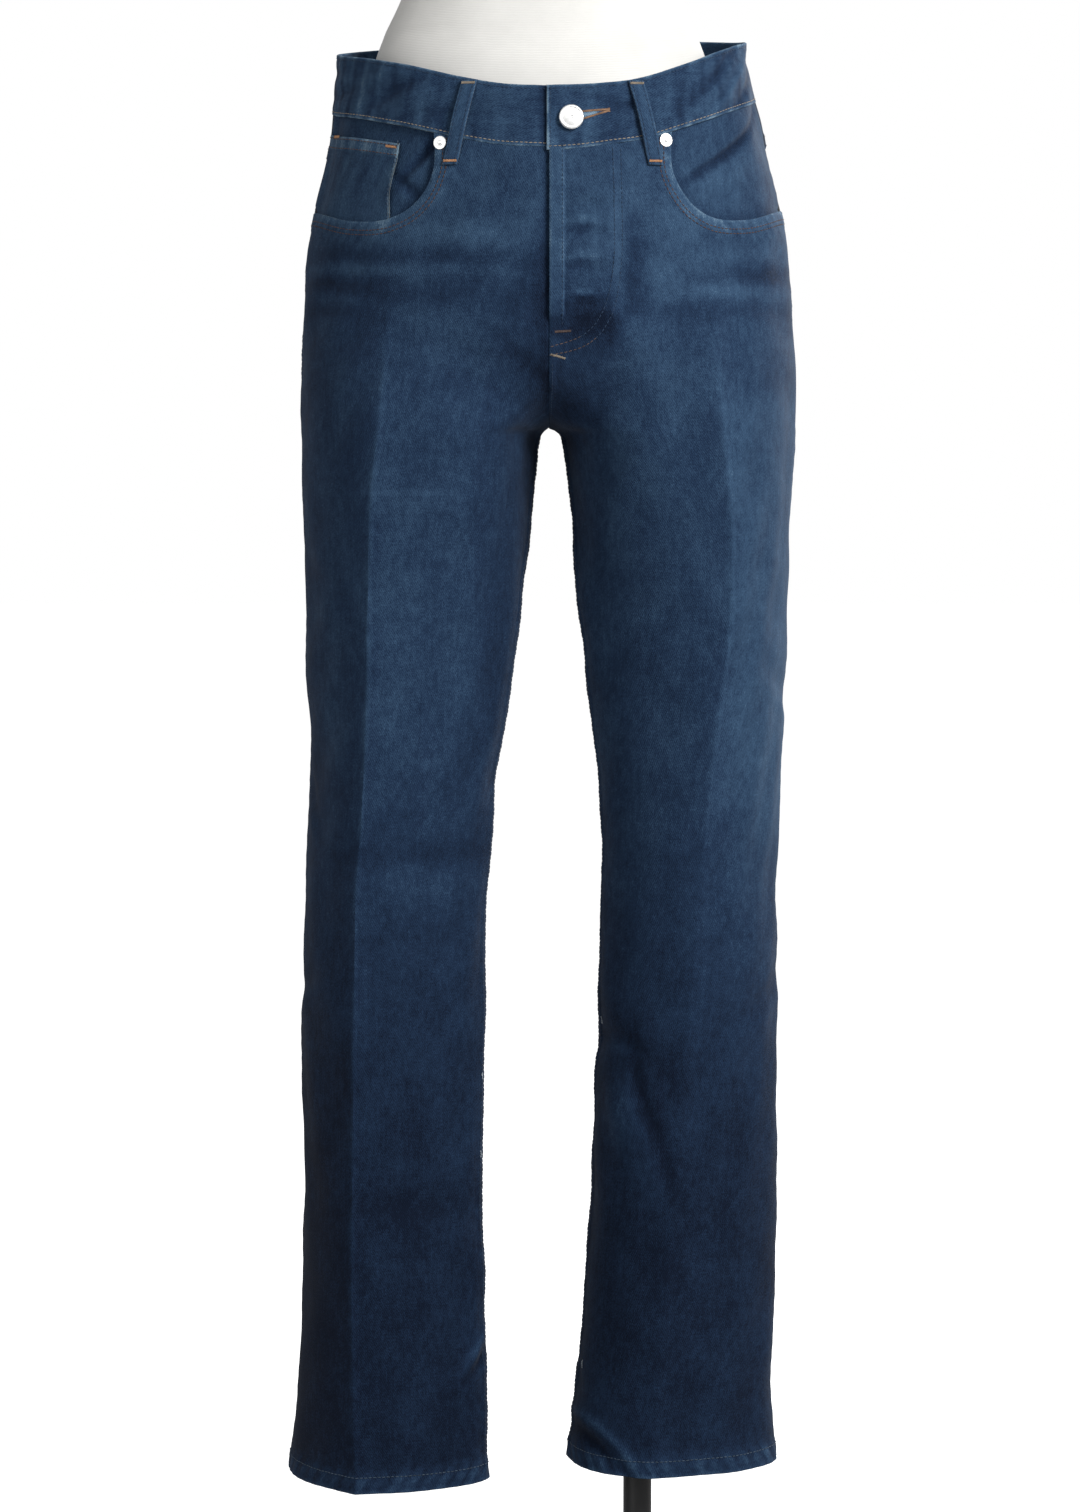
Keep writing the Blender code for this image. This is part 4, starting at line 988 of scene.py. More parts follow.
def seam_wear(distance, run):
    """Light and dark patches over the ridges beside a stitched seam."""
    return 0.16 * (blotches(run, 11.0) - 0.55) * bell(distance, 2 * FELL)


def hem_wear(side, a, z):
    """The pale fold of a hem, and the slanting pale patches over it."""
    over = z - HEM_Z[side]
    patches = 0.28 * (0.2 + blotches(a + HEM_LEAN * over, HEM_RIPPLE)) * bell(over - 8, 17.0)
    return edge_wear(over, a, 0.34, 3.4) + patches


# Tone of a front: wear, with painted light and shade along the crease, at the fly and beside the centre
# front
def front_wear_and_shading(side, u, z):
    a = along(side, u, z)
    tone = plain_wear_and_shading(side, u, z)
    # a pale line down the crease: rubbed, with a painted highlight
    gain, foot = PRESS_LINE[side]
    crease = a - along(side, 0.25, z)
    below = smooth((960 - z) / 60) * smooth((z - foot) / 120)
    tone = tone + gain * bell(crease, 5.0) * below * (0.6 + 0.4 * blotches(z, 60.0))
    tone = tone + hem_wear(side, a, z)
    tone = tone + edge_wear(a, z, 0.20, 4.0) + seam_wear(a, z) * smooth((CROTCH_Z - z) / CROTCH_RUN)
    mouth = mouth_distance(side, u, z)
    tone = tone + edge_wear(mouth, a + z, 0.20, 3.4) + seam_wear(mouth - 5, a + z)
    tone = tone + 0.12 * bell(mouth - 4, 11.0) * (0.5 + blotches(a + z, 31.0))
    if side == LEFT:
        up = smooth((z - FLY_FOOT_Z) / FLY_RUN)
        tone = tone + up * (0.11 * smooth(FLY_STRIP - a + 0.5) + edge_wear(a - FLY_STRIP, z, 0.16))
        # pale rubbed marks over the buttons, with painted shade in the dips under them
        for at in FLY_BUTTONS[1:]:
            from_mark = a - FLY_MARK_X
            stray = FLY_MARK_STRAY * np.sin(at) + 0.5 * (z - at)
            reach = bell(from_mark - stray, FLY_MARK_WIDTH)
            over = z - at + 0.12 * (a - 30) + 0.010 * from_mark**2
            mark = sum(rubbed * bell(over - off, width) for off, rubbed, width in FLY_MARK)
            tone = tone + mark * reach * up * (0.4 + 0.6 * blotches(a + 5 * at, 9.0))
        tone = tone + 0.10 * bell(a - 33, 3.0) * smooth((z - 985) / 10) * smooth((1040 - z) / 10)
        # painted shadow under the fly's bulge at its foot
        tone = tone - 0.15 * bell(z - FLY_FOOT_Z + 4, 26.0) * smooth((FLY_FACING + 12 - a) / 14)
        tone = tone - 0.20 * bell(a - FLY_MARK_X, 42.0) * bell(z - FLY_FOOT_Z - 5, 32.0)
        # painted highlight along the edge of the buttons' facing, and painted shadow beside it
        held = smooth((z - 958) / 12) * smooth((1045 - z) / 14)
        ridge = 0.12 * bell(a - FLY_FACING - 2, 9.0) * (0.6 + 0.4 * blotches(z, 14.0))
        tone = tone + held * (ridge - 0.14 * bell(a - FLY_FACING - 14, 20.0))
    else:
        shade = 0.14 * bell(a, 9.0) + 0.13 * bell(a, 30.0) * smooth((1045 - z) / 40)
        tone = tone - shade * smooth((z - CROTCH_Z) / 30)
    return tone


# Tone of a back: wear, with the painted light and shade of plain cloth and a painted highlight on the
# crease
def back_wear_and_shading(side, u, z):
    a = along(side, u, z)
    to_seam = along(side, 1.0, z) - a
    tone = plain_wear_and_shading(side, u, z) + hem_wear(side, a, z)
    crease = a - along(side, 0.75, z)
    # a pale line down the back crease: rubbed, with a painted highlight
    tone = tone + 0.10 * bell(crease, 5.0) * smooth((760 - z) / 60) * blotches(z, 60.0)
    return tone + edge_wear(to_seam, z, 0.18, 4.0) + seam_wear(to_seam, z)


def cloth_place(side, u, z):
    """Weave coordinates in metres: along the girth from the crease, and up the garment."""
    crease = np.where(np.asarray(u) <= 0.5, 0.25, 0.75)
    across = side * (along(side, u, z) - along(side, crease, z))
    return np.stack([across, np.broadcast_to(z, np.shape(u))], -1) * MM


def front_mesh(side):
    """(u, z) points and triangles of a front, whose upper outer corner is the pocket mouth."""
    columns = columns_of(FRONT_COLUMNS)
    u, z = panel_grid(side, columns, waist_seam(side, columns))
    high, rows = z[:HIP_ROWS, 0], z[HIP_ROWS:, 0]
    curve_u, curve_z = MOUTH_CURVES[side]
    mouth_z = np.interp(u, curve_u, curve_z)
    inside = (u > curve_u[0]) & (z > mouth_z - MOUTH_CLEAR)
    near = mouth_distance(side, u, z) < MOUTH_CLEAR
    keep = ~(inside | near)
    top = np.count_nonzero(columns < curve_u[0] - 0.002)
    outline = [(columns[k], float(waist_seam(side, columns[k]))) for k in range(top)]
    outline += list(zip(curve_u, curve_z))
    outline += [(0.5, at) for at in np.linspace(curve_z[-1], HIP_Z, 12)[1:]]
    outline += [(0.5, at) for at in rows[1:]]
    outline += [(at, rows[-1]) for at in columns[-2::-1]]
    outline += [(0.0, at) for at in rows[-2::-1]]
    outline += [(0.0, at) for at in high[:0:-1]]
    count = len(outline)
    points = outline + list(zip(u[keep], z[keep]))
    flat = [(p[0] * FOLD_GIRTH, p[1]) for p in points]
    rim = [(k, (k + 1) % count) for k in range(count)]
    made, _, triangles, *_ = delaunay_2d_cdt(flat, rim, [], 1, 1e-4)
    made = np.array([tuple(p) for p in made])
    return made[:, 0] / FOLD_GIRTH, made[:, 1], np.array(triangles)


MOUTH_CURVES = {side: mouth_curve(side) for side in SIDES}

for side in SIDES:
    u, z, faces = front_mesh(side)
    u = np.clip(u, 0.0, 0.5)
    lift = front_lift(side, u, z)
    doubled = HEM_SINK * hem_step(side, z)
    outer = on_cloth(side, u, z, lift)
    inner = on_cloth(side, u, z, -CLOTH - doubled + roll(z - HEM_Z[side]))
    wear = front_wear_and_shading(side, u, z)
    name = "front_" + WORD[side]
    front = shell(name, outer, inner, faces, cloth_place(side, u, z), wear, denim)
    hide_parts("front_panel_" + WORD[side])
    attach(front, "root")

    columns = columns_of(BACK_COLUMNS)
    u, z = panel_grid(side, columns, yoke_seam(side, columns))
    faces = grid_faces(*z.shape)
    u, z = u.ravel(), z.ravel()
    lift = back_lift(side, u, z)
    doubled = HEM_SINK * hem_step(side, z)
    outer = on_cloth(side, u, z, lift)
    inner = on_cloth(side, u, z, -CLOTH - doubled + roll(z - HEM_Z[side]))
    name = "back_" + WORD[side]
    back = shell(name, outer, inner, faces, cloth_place(side, u, z), back_wear_and_shading(side, u, z), denim)
    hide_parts("back_panel_" + WORD[side])
    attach(back, "root")

# ---- Yokes ----------------------------------------------------------------------------------
# Shaped pieces of the same twill between the band and the backs, felled down over the backs and
# stitched twice.

YOKE_ROWS, YOKE_CUT, YOKE_SHARE = 22, (0.265, 0.066), 0.7  # the share of its rectangle it fills
YOKE_FOOT_DROP = 1.0  # the yoke's folded edge laps so far over the back


def yoke_lift(side, u, z):
    a = along(side, u, z)
    over = z - yoke_seam(side, u) + YOKE_FOOT_DROP
    to_seam = along(side, 1.0, z) - a
    return fell_step(over) - roll(over) + pucker(a, over) + seat_seam(side, to_seam)


for side in SIDES:
    columns = columns_of(BACK_COLUMNS)
    down = np.linspace(0, 1, YOKE_ROWS)[:, None]
    z = lerp(waist_seam(side, columns)[None], yoke_seam(side, columns)[None] - YOKE_FOOT_DROP, down)
    u = np.broadcast_to(columns, z.shape)
    faces = grid_faces(*z.shape)
    u, z = u.ravel(), z.ravel()
    a = along(side, u, z)
    over = z - yoke_seam(side, u) + YOKE_FOOT_DROP
    to_seam = along(side, 1.0, z) - a
    outer, inner = on_cloth(side, u, z, yoke_lift(side, u, z)), on_cloth(side, u, z, -CLOTH)
    tone = plain_wear_and_shading(side, u, z) + edge_wear(over, a, 0.2, 3.0) + seam_wear(over, a)
    tone = tone + edge_wear(to_seam, z, 0.18, 4.0)
    name = "yoke_" + WORD[side]
    made = shell(name, outer, inner, faces, cloth_place(side, u, z), tone, denim)
    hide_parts("back_yoke_" + WORD[side])
    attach(made, "root")

# ---- Pocket facings and coin pocket ----------------------------------------------------------
# Twill behind each pocket mouth. The wearer's right one carries the coin pocket, whose top is
# hemmed with two rows of stitches and whose foot is caught behind the mouth.

LAY_GAP, FACING_GAP, FACING, COIN = 0.6, 0.3, 1.2, 1.0
FACING_IN_U, FACING_FAR_U, FACING_FOOT, FACING_ROWS, FACING_COLUMNS = 0.14, 0.4995, 0.8, 60, 84
SEAM_RISE_U, SEAM_RISE_RUN, SEAM_RISE_UP, FACING_SEAM, COIN_SEAM = 0.455, 0.04, 5.0, -0.9, 0.2
COIN_X, COIN_FAR_U, COIN_TOP, COIN_FOOT = (107.0, 113.5), 0.497, 0.13, 0.76
COIN_HEM, COIN_HEM_LIFT, COIN_BOW, COIN_COLUMNS, COIN_ROWS = 9.5, 0.5, 1.4, 48, 48
COIN_SIDE_U, COIN_TURN_RUN = 0.31, 42.0  # where its side is measured, and over what length it turns
SMALL_HEM_EDGE = 1.4  # how softly the hem of a small pocket steps down
FACING_FOLDS = {  # u, z, length, width, slant, depth
    RIGHT: ((0.205, 1077, 56, 7, -40, 3.4), (0.235, 1053, 34, 8, 30, 2.2)),
    LEFT: ((0.32, 1080, 110, 7, 27, 3.8), (0.33, 1068, 90, 16, 24, -1.2)),
}


def hip_place(side, u, share):
    """A height from the waist seam (0) to the hip (1)."""
    return lerp(waist_seam(side, u), HIP_Z, share)


def facing_fold(side, u, z):
    depth = np.zeros(np.shape(u))
    for at_u, at_z, length, width, slant, deep in FACING_FOLDS[side]:
        across = (u - at_u) * FOLD_GIRTH
        depth = depth + deep * streak(across, z - at_z, length, width, slant)
    return depth


def to_outseam(side, u, z):
    """How far a piece in the pocket's mouth has risen to the outseam, where it is caught."""
    over = z - MOUTH_CURVES[side][1][-1]
    return smooth((u - SEAM_RISE_U) / SEAM_RISE_RUN) * smooth(over / SEAM_RISE_UP)


for side in SIDES:
    room = CLOTH + LAY_GAP + FACING_GAP + (COIN + LAY_GAP if side == RIGHT else 0.0)
    columns = np.linspace(FACING_IN_U, FACING_FAR_U, FACING_COLUMNS)
    z = hip_place(side, columns[None], np.linspace(0, FACING_FOOT, FACING_ROWS)[:, None])
    u = np.broadcast_to(columns, z.shape)
    faces = grid_faces(*z.shape)
    u, z = u.ravel(), z.ravel()
    sunk = facing_fold(side, u, z)
    lift = lerp(-room - sunk, FACING_SEAM, to_outseam(side, u, z))
    outer = on_cloth(side, u, z, lift)
    inner = on_cloth(side, u, z, lift - FACING)
    # painted shade in the recess behind the mouth: the facing is darker than plain cloth, more so beside
    # the mouth, darker in its folds and lighter on its ridge
    shaded = 0.08 * bell(mouth_distance(side, u, z), 12.0)
    tone = plain_wear_and_shading(side, u, z) - 0.02 - 0.07 * sunk - shaded
    name = "facing_" + WORD[side]
    made = shell(name, outer, inner, faces, cloth_place(side, u, z), tone, denim)
    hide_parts("pocket_facing_" + WORD[side])
    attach(made, "root")


def coin_side_u(z, under_top):
    """The share at the coin pocket's free edge, which turns outwards down its length."""
    return share_at_x(RIGHT, z, lerp(COIN_X[0], COIN_X[1], smooth(under_top / COIN_TURN_RUN)))


def coin_hem(under_top):
    """1 in the coin pocket's hem and 0 below it."""
    return step_down(under_top, COIN_HEM, SMALL_HEM_EDGE)


def coin_lift(side, u, z):
    under_top = hip_place(side, u, COIN_TOP) - z
    edge = along(side, u, z) - along(side, coin_side_u(z, under_top), z)
    bow = COIN_BOW * bell(edge, 16.0) * bell(under_top - 30, 44.0)
    hem = COIN_HEM_LIFT * coin_hem(under_top)
    lift = hem + bow - roll(edge) - roll(under_top) - CLOTH - LAY_GAP + pucker(edge, under_top - 9)
    return lerp(lift, COIN_SEAM, to_outseam(side, u, z))


down, across = np.linspace(0, 1, COIN_ROWS)[:, None], np.linspace(0, 1, COIN_COLUMNS)[None]
side_z = hip_place(RIGHT, COIN_SIDE_U, lerp(COIN_TOP, COIN_FOOT, down))
inside_u = coin_side_u(side_z, side_z[0] - side_z)
u = lerp(inside_u, COIN_FAR_U, across)
z = hip_place(RIGHT, u, lerp(COIN_TOP, COIN_FOOT, down))
faces = grid_faces(*z.shape)
edge = (along(RIGHT, u, z) - along(RIGHT, inside_u, z)).ravel()
u, z = u.ravel(), z.ravel()
under_top = hip_place(RIGHT, u, COIN_TOP) - z
lift = coin_lift(RIGHT, u, z)
in_hem = coin_hem(under_top)
outer = on_cloth(RIGHT, u, z, lift)
inner = on_cloth(RIGHT, u, z, lift - COIN_HEM_LIFT * in_hem - COIN + 2 * (roll(edge) + roll(under_top)))
mottled = 0.16 * (blotches(edge + 0.4 * z, 17.0) - 0.6) * bell(under_top - 24, 44.0)
tone = plain_wear_and_shading(RIGHT, u, z) + 0.03 + edge_wear(edge, z, 0.65, 3.4) + mottled
tone = tone + edge_wear(under_top, edge, 0.16) + 0.20 * in_hem * (0.5 + blotches(edge, 14.0))
coin = shell("coin_pocket_patch", outer, inner, faces, cloth_place(RIGHT, u, z), tone, denim)
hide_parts("coin_pocket")
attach(coin, "root")

# ---- Waistband -------------------------------------------------------------------------------
# One shaped strip folded double and sewn over the top of the panels. Its right end passes under,
# and its left end laps over it and is buttoned down.

BAND_OUT, BAND_WALL, BAND_GAP, BAND_LAP, BAND_UNDERLAP = 0.6, 2.6, 0.3, 2.0, 30.0
RAMP_U, RAMP_RUN, WAIST_FIT_Z = 0.14, 0.06, 1103.0
LAP_DROP, LAP_DROP_U = 2.4, 0.11  # the lap's lower corner hangs down by so much
BAND_CUT, BAND_ROLL, CHANNEL, CHANNEL_IN = (0.93, 0.098), 1.1, 0.25, 2.6
BAND_STEPS = (0, 0.008, 0.02, 0.035, 0.07, 0.11)  # shares of its height, by each edge
FAR_OFF = 99.0  # a distance at which an end has no effect
BAND_FOLDS = (  # side, u, millimetres under the top edge, length, width, slant, depth
    (RIGHT, 0.27, 20, 84, 8, -30, 2.2),
    (RIGHT, 0.31, 12, 70, 8, -26, -1.2),
    (RIGHT, 0.42, 27, 66, 8, -8, 1.7),
    (RIGHT, 0.40, 16, 60, 7, -4, -0.9),
    (RIGHT, 0.20, 31, 60, 9, -16, 1.2),
    (RIGHT, 0.47, 14, 40, 8, 0, 1.8),
    (LEFT, 0.22, 24, 70, 8, 24, 1.1),
    (LEFT, 0.30, 17, 90, 8, 22, 2.5),
    (LEFT, 0.29, 27, 70, 8, 20, -1.0),
    (LEFT, 0.36, 25, 90, 8, 24, -1.7),
    (LEFT, 0.41, 31, 80, 8, 20, 2.1),
    (LEFT, 0.09, 13, 44, 7, -14, 1.5),
    (LEFT, 0.108, 19, 26, 5, 8, 1.6),
    (LEFT, 0.13, 33, 40, 9, 12, 0.8),
    (LEFT, 0.75, 20, 90, 10, 6, 0.7),
    (RIGHT, 0.75, 22, 90, 10, -6, 0.7),
)


def band_stand(u, lapped):
    """How far the plain band stands out. The lapping end rises over the other one."""
    return BAND_OUT + lapped * (BAND_WALL + BAND_GAP) * smooth((RAMP_U - u) / RAMP_RUN)


def band_lift(side, u, under_top, lapped):
    """How far the band's outer face stands out between its edges, with its folds."""
    lift = band_stand(u, lapped)
    for fold_side, at_u, at_down, length, width, slant, deep in BAND_FOLDS:
        if fold_side == side:
            across = (u - at_u) * FOLD_GIRTH
            lift = lift - deep * streak(across, at_down - under_top, length, width, slant)
    return lift


def band_height(u, lapped):
    return BAND_HEIGHT + lapped * LAP_DROP * smooth(1 - u / LAP_DROP_U)


steps = np.array(BAND_STEPS)
down = np.concatenate([steps, np.linspace(0.15, 0.85, 15), 1 - steps[::-1]])
round_u = columns_of(((0, 0.03, 14), (0.03, 1, 210)))
under_end = float(share_at_x(LEFT, WAIST_FIT_Z, BAND_UNDERLAP))
lap_end = float(share_at_x(RIGHT, WAIST_FIT_Z, BAND_LAP))
stretches = (  # side, shares, whether it is the lapping end's half
    (LEFT, np.append(np.linspace(under_end, 0.012, 12), (0.008, 0.004)), 0),
    (RIGHT, round_u, 0),
    (LEFT, round_u[-2::-1], 1),
    (RIGHT, lap_end * np.array((0.3, 0.6, 0.8, 0.92, 1.0)), 1),
)
middle = np.concatenate([surface(side, u, waist_top(side, u) - 20) for side, u, _ in stretches])
gone = gone_along(middle)
parts, start = [], 0
for side, u, lapped in stretches:
    at = gone[start : start + len(u), None]
    start += len(u)
    u = np.broadcast_to(u[:, None], (len(u), len(down)))
    height = band_height(u, lapped)
    under_top, over_foot = down * height, (1 - down) * height
    z = waist_top(side, u) - under_top
    to_end = gone[-1] - at if lapped else np.full(at.shape, FAR_OFF)
    turned = roll(under_top, BAND_ROLL) + roll(over_foot, BAND_ROLL) + roll(to_end, BAND_ROLL)
    sewn = bell(under_top - CHANNEL_IN, 2.4) + bell(over_foot - CHANNEL_IN, 2.4)
    sewn = CHANNEL * (sewn + bell(to_end - CHANNEL_IN, 2.4))
    flat = band_lift(side, u, under_top, lapped)
    flat = flat + pucker(at, under_top - 2) + pucker(at + 4, over_foot - 2)
    dent = band_stand(u, lapped) - flat
    # painted shade in the band's folds, and painted light on its ridges, through dent
    tone = BASE_TONE - 0.02 + BAND_GAIN - 0.07 * dent + edge_wear(under_top, at, 0.40, 2.6)
    mottled = bell(u - 0.42, 0.5) if side == RIGHT else 0.5 * bell(u - 0.3, 0.6)
    tone = tone + 0.28 * mottled * (blotches(at + 0.2 * z, 19.0) - (0.35 if side == RIGHT else 0.5))
    tone = tone + 0.16 * (blotches(at, 29.0) - 0.5) * bell(over_foot - 10, 34.0)
    tone = tone + edge_wear(over_foot, at, 0.50, 2.8) + 0.6 * seam_wear(over_foot - 2, at)
    tone = tone + edge_wear(to_end, z, 0.60, 3.4)
    # painted shadow of the lapping end on the band beside it
    if side == RIGHT and not lapped:
        tone = tone - 0.20 * bell(along(side, u, z) - BAND_LAP, 11.0)
    outer = on_cloth(side, u, z, flat - turned - sewn)
    inner = on_cloth(side, u, z, flat - BAND_WALL + turned)
    place = np.stack([z, np.broadcast_to(at, z.shape)], -1) * MM
    parts.append([a.reshape(u.size, -1) for a in (outer, inner, place, tone)])
band_outer, band_inner, band_place, band_tone = (np.concatenate(part) for part in zip(*parts))
band = shell(
    "waistband_strip",
    band_outer,
    band_inner,
    grid_faces(len(gone), len(down)),
    band_place,
    band_tone.ravel(),
    denim,
    inside=0.0,
)
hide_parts("waistband")
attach(band, "root")

# ---- Belt loops ------------------------------------------------------------------------------
# Five strips folded to 11 mm, each tacked at the band's top edge and below its seam.

LOOP_WIDTH, LOOP_WALL, LOOP_BELOW, LOOP_STAND = 11.0, 2.0, 20.0, 1.6
LOOP_TOP_DROP, LOOP_FOOT_SHARE, LOOP_GAP = 1.5, 0.8, 0.3
FRONT_LOOP = {RIGHT: (57.0, 68.5), LEFT: (62.0, 72.0)}
SIDE_LOOP_U, LOOP_ROWS, LOOP_COLUMNS = 0.66, 34, 13
LOOP_CUT, LOOP_LENGTH, LOOP_ROLL = (0.011, 0.066), 66.0, 0.9


def loop_length(loop):
    side, top_u, foot_u = loop
    top, foot = waist_top(side, top_u), waist_seam(side, foot_u) - LOOP_BELOW
    return float(top), float(top - LOOP_TOP_DROP - foot)


def loop_face(loop, share, across, lift=0.0):
    """Places on a loop's back, or lifted off it, and the ways out: a share down its length, and
    millimetres across from its middle."""
    side, top_u, foot_u = loop
    top, length = loop_length(loop)
    z = top - LOOP_TOP_DROP - share * length
    bow = np.sin(math.pi * np.minimum(share / LOOP_FOOT_SHARE, 1))
    stand = BAND_OUT + 2 * LOOP_GAP + LOOP_STAND * bow
    stand = lerp(stand, LAY_GAP, smooth((share - LOOP_FOOT_SHARE) / 0.05))
    reach = along(side, lerp(top_u, foot_u, share), z) + across
    over = reach - along(side, 1.0, z)
    here = share_along(side, z, reach - 2 * np.maximum(over, 0))
    other = share_along(-side, z, -np.maximum(over, 0), 1.0)
    beyond = (over > 0)[..., None]
    way = np.where(beyond, way_out(-side, other, z), way_out(side, here, z))
    place = np.where(beyond, on_cloth(-side, other, z, stand), on_cloth(side, here, z, stand))
    way = unit(way)
    return place + way * np.asarray(lift)[..., None], way


LOOPS = {"centre_back": (LEFT, 1.0, 1.0)}
for side in SIDES:
    top_u, foot_u = (float(share_at_x(side, WAIST_FIT_Z, x)) for x in FRONT_LOOP[side])
    LOOPS["front_" + WORD[side]] = (side, top_u, foot_u)
    LOOPS["side_" + WORD[side]] = (side, SIDE_LOOP_U, SIDE_LOOP_U)
steps = np.array((0, 0.2, 0.5, 0.9, 1.8, 3.4))
across = np.concatenate([steps, [LOOP_WIDTH / 2], LOOP_WIDTH - steps[::-1]]) - LOOP_WIDTH / 2
tips = steps / LOOP_LENGTH
share = np.concatenate([tips, np.linspace(0.09, 0.91, LOOP_ROWS - 12), 1 - tips[::-1]])
share, across = (a.ravel() for a in np.meshgrid(share, across, indexing="ij"))
for name, loop in LOOPS.items():
    length = loop_length(loop)[1]
    to_edge = LOOP_WIDTH / 2 - np.abs(across)
    to_tip = np.minimum(share, 1 - share) * length
    turned = roll(to_edge, LOOP_ROLL) + roll(to_tip, LOOP_ROLL)
    outer, _ = loop_face(loop, share, across, LOOP_WALL - turned + 0.35 * bell(across, 5.0))
    inner, _ = loop_face(loop, share, across, 0.6 * turned)
    tone = BASE_TONE + 0.11 + edge_wear(to_edge, share * length, 0.20, 2.4)
    tone = tone + 0.05 * bell(across, 4.0) + edge_wear(to_tip, across, 0.2, 2.2)
    uv = np.stack([across, -share * length], -1) * MM
    faces = grid_faces(LOOP_ROWS, LOOP_COLUMNS)
    made = shell("loop_" + name, outer, inner, faces, uv, tone, denim)
    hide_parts("belt_loop_" + name)
    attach(made, "root")

# ---- Back pockets ----------------------------------------------------------------------------
# Plain patches with a pointed foot, folded in all round and sewn on with two rows of stitches.

POCKET_GAP, POCKET_WALL = 0.5, 1.2
POCKET_IN, POCKET_WIDTH, POCKET_HEIGHT, POCKET_LEVEL_Z = 32.0, 138.0, 150.0, 1050.0
POCKET_POINT, POCKET_DROP, POCKET_TILT, POCKET_FOOT = 20.0, 16.0, 4.0, 0.87
POCKET_HEM, POCKET_TURN_IN, POCKET_GAPE, POCKET_ROLL = 13.0, 9.5, 1.2, 0.9
POCKET_HEM_LIFT, POCKET_TURN_LIFT = 0.5, 0.4  # how far the folded cloth stands up
POCKET_STEPS = ((0, 0.06, 8), (0.06, 0.94, 40), (0.94, 1, 8))


def pocket_place(side, across, down):
    """The place (u, z) on a pocket from its side edge (-0.5) to its centre edge (0.5), and down
    it from 0 to 1."""
    middle = POCKET_IN + POCKET_WIDTH / 2
    middle_u = float(share_along(side, POCKET_LEVEL_Z, -middle, 1.0))
    drop = POCKET_HEIGHT - POCKET_POINT * 2 * np.abs(across)
    z = yoke_seam(side, middle_u) - POCKET_DROP - POCKET_TILT * across - down * drop
    width = POCKET_WIDTH * lerp(1, POCKET_FOOT, down)
    return share_along(side, z, across * width - middle, 1.0), z


def pocket_edges(across, down):
    """Distances to a pocket's top, its nearer side and its foot."""
    drop = POCKET_HEIGHT - POCKET_POINT * 2 * np.abs(across)
    to_side = (0.5 - np.abs(across)) * POCKET_WIDTH * lerp(1, POCKET_FOOT, down)
    return down * drop, to_side, (1 - down) * drop


def pocket_gape(across, down):
    """The top edge stands a little off the seat between its corners."""
    return POCKET_GAPE * bell(pocket_edges(across, down)[0], 30.0) * (1 - (2 * across) ** 4)


def pocket_lift(across, down):
    """How far a pocket's outer face stands off the back, before its edges turn."""
    under_top, to_side, over_foot = pocket_edges(across, down)
    hem = POCKET_HEM_LIFT * step_down(under_top, POCKET_HEM, SMALL_HEM_EDGE)
    fold_in = POCKET_TURN_LIFT * smooth((POCKET_TURN_IN - np.minimum(to_side, over_foot)) / 1.6)
    ripples = pucker(under_top, to_side - 5) + pucker(to_side, over_foot - 5)
    return POCKET_GAP + POCKET_WALL + hem + fold_in + pocket_gape(across, down) + ripples


cells = columns_of(POCKET_STEPS)
down, across = (a.ravel() for a in np.meshgrid(cells, cells - 0.5, indexing="ij"))
under_top, to_side, over_foot = pocket_edges(across, down)
turned = roll(under_top, POCKET_ROLL) + roll(to_side, POCKET_ROLL) + roll(over_foot, POCKET_ROLL)
for side in SIDES:
    u, z = pocket_place(side, across, down)
    seat = back_lift(side, u, z)
    outer = on_cloth(side, u, z, seat + pocket_lift(across, down) - turned)
    inner = on_cloth(side, u, z, seat + POCKET_GAP + 0.8 * pocket_gape(across, down))
    to_edge = np.minimum(to_side, over_foot)
    tone = plain_wear_and_shading(side, u, z) + 0.02 + edge_wear(to_edge, under_top + 0.3 * to_side, 0.22, 2.6)
    tone = tone + edge_wear(under_top, to_side, 0.25, 2.6) + 0.8 * seam_wear(to_edge - 4, under_top)
    tone = tone + 0.08 * bell(np.hypot(across * 1.3, down - 0.5), 1.0)
    faces = grid_faces(len(cells), len(cells))
    name = "back_patch_" + WORD[side]
    made = shell(name, outer, inner, faces, cloth_place(side, u, z), tone, denim)
    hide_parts("back_pocket_" + WORD[side])
    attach(made, "root")

# ---- Button and rivets -----------------------------------------------------------------------
# A shank button with a rolled rim and a shallow dish, pressed from brass and nickel plated, and
# two rivets whose burr comes up through a washer. Shank and burr are hammered in from behind.

BUTTON_X, BUTTON_Z, RING_STEPS = 15.0, 1100.0, 64
BUTTON = (  # radius and height, from the foot up
    (3.0, 0.0), (3.0, 0.9), (7.6, 0.9), (8.5, 1.25), (8.75, 1.8), (8.6, 2.5), (8.1, 3.05),
    (7.4, 3.25), (6.9, 3.1), (6.6, 2.95), (6.2, 3.0), (4.5, 3.35), (2.4, 3.6), (1.3, 3.62),
    (1.05, 3.4), (0.6, 3.3), (0, 3.28),
)
RIVET_X, RIVET_Z = {RIGHT: 77.0, LEFT: 81.8}, {RIGHT: 1083.6, LEFT: 1085.4}
RIVET = (
    (4.5, 0.0), (4.75, 0.15), (4.8, 0.5), (4.6, 0.8), (4.0, 0.95), (2.6, 1.0), (2.1, 0.85),
    (1.9, 0.8), (1.6, 0.9), (1.5, 1.5), (1.3, 1.85), (0.8, 2.1), (0, 2.15),
)
NICKEL = (0.95, 0.95, 0.94)
TURNED_SHARP = 40  # degrees from which an edge of a turned piece is sharp


def two_tones(tree, share, colour, start, end, low, high):
    """A colour at low strength up to a share, and at high strength from another on."""
    ramp = add_node(tree, "ShaderNodeValToRGB", {"Fac": share})
    for element, position, strength in zip(ramp.color_ramp.elements, (start, end), (low, high)):
        element.position = position
        element.color = (*(min(strength * c, 1) for c in colour), 1)
    return ramp.outputs[0]


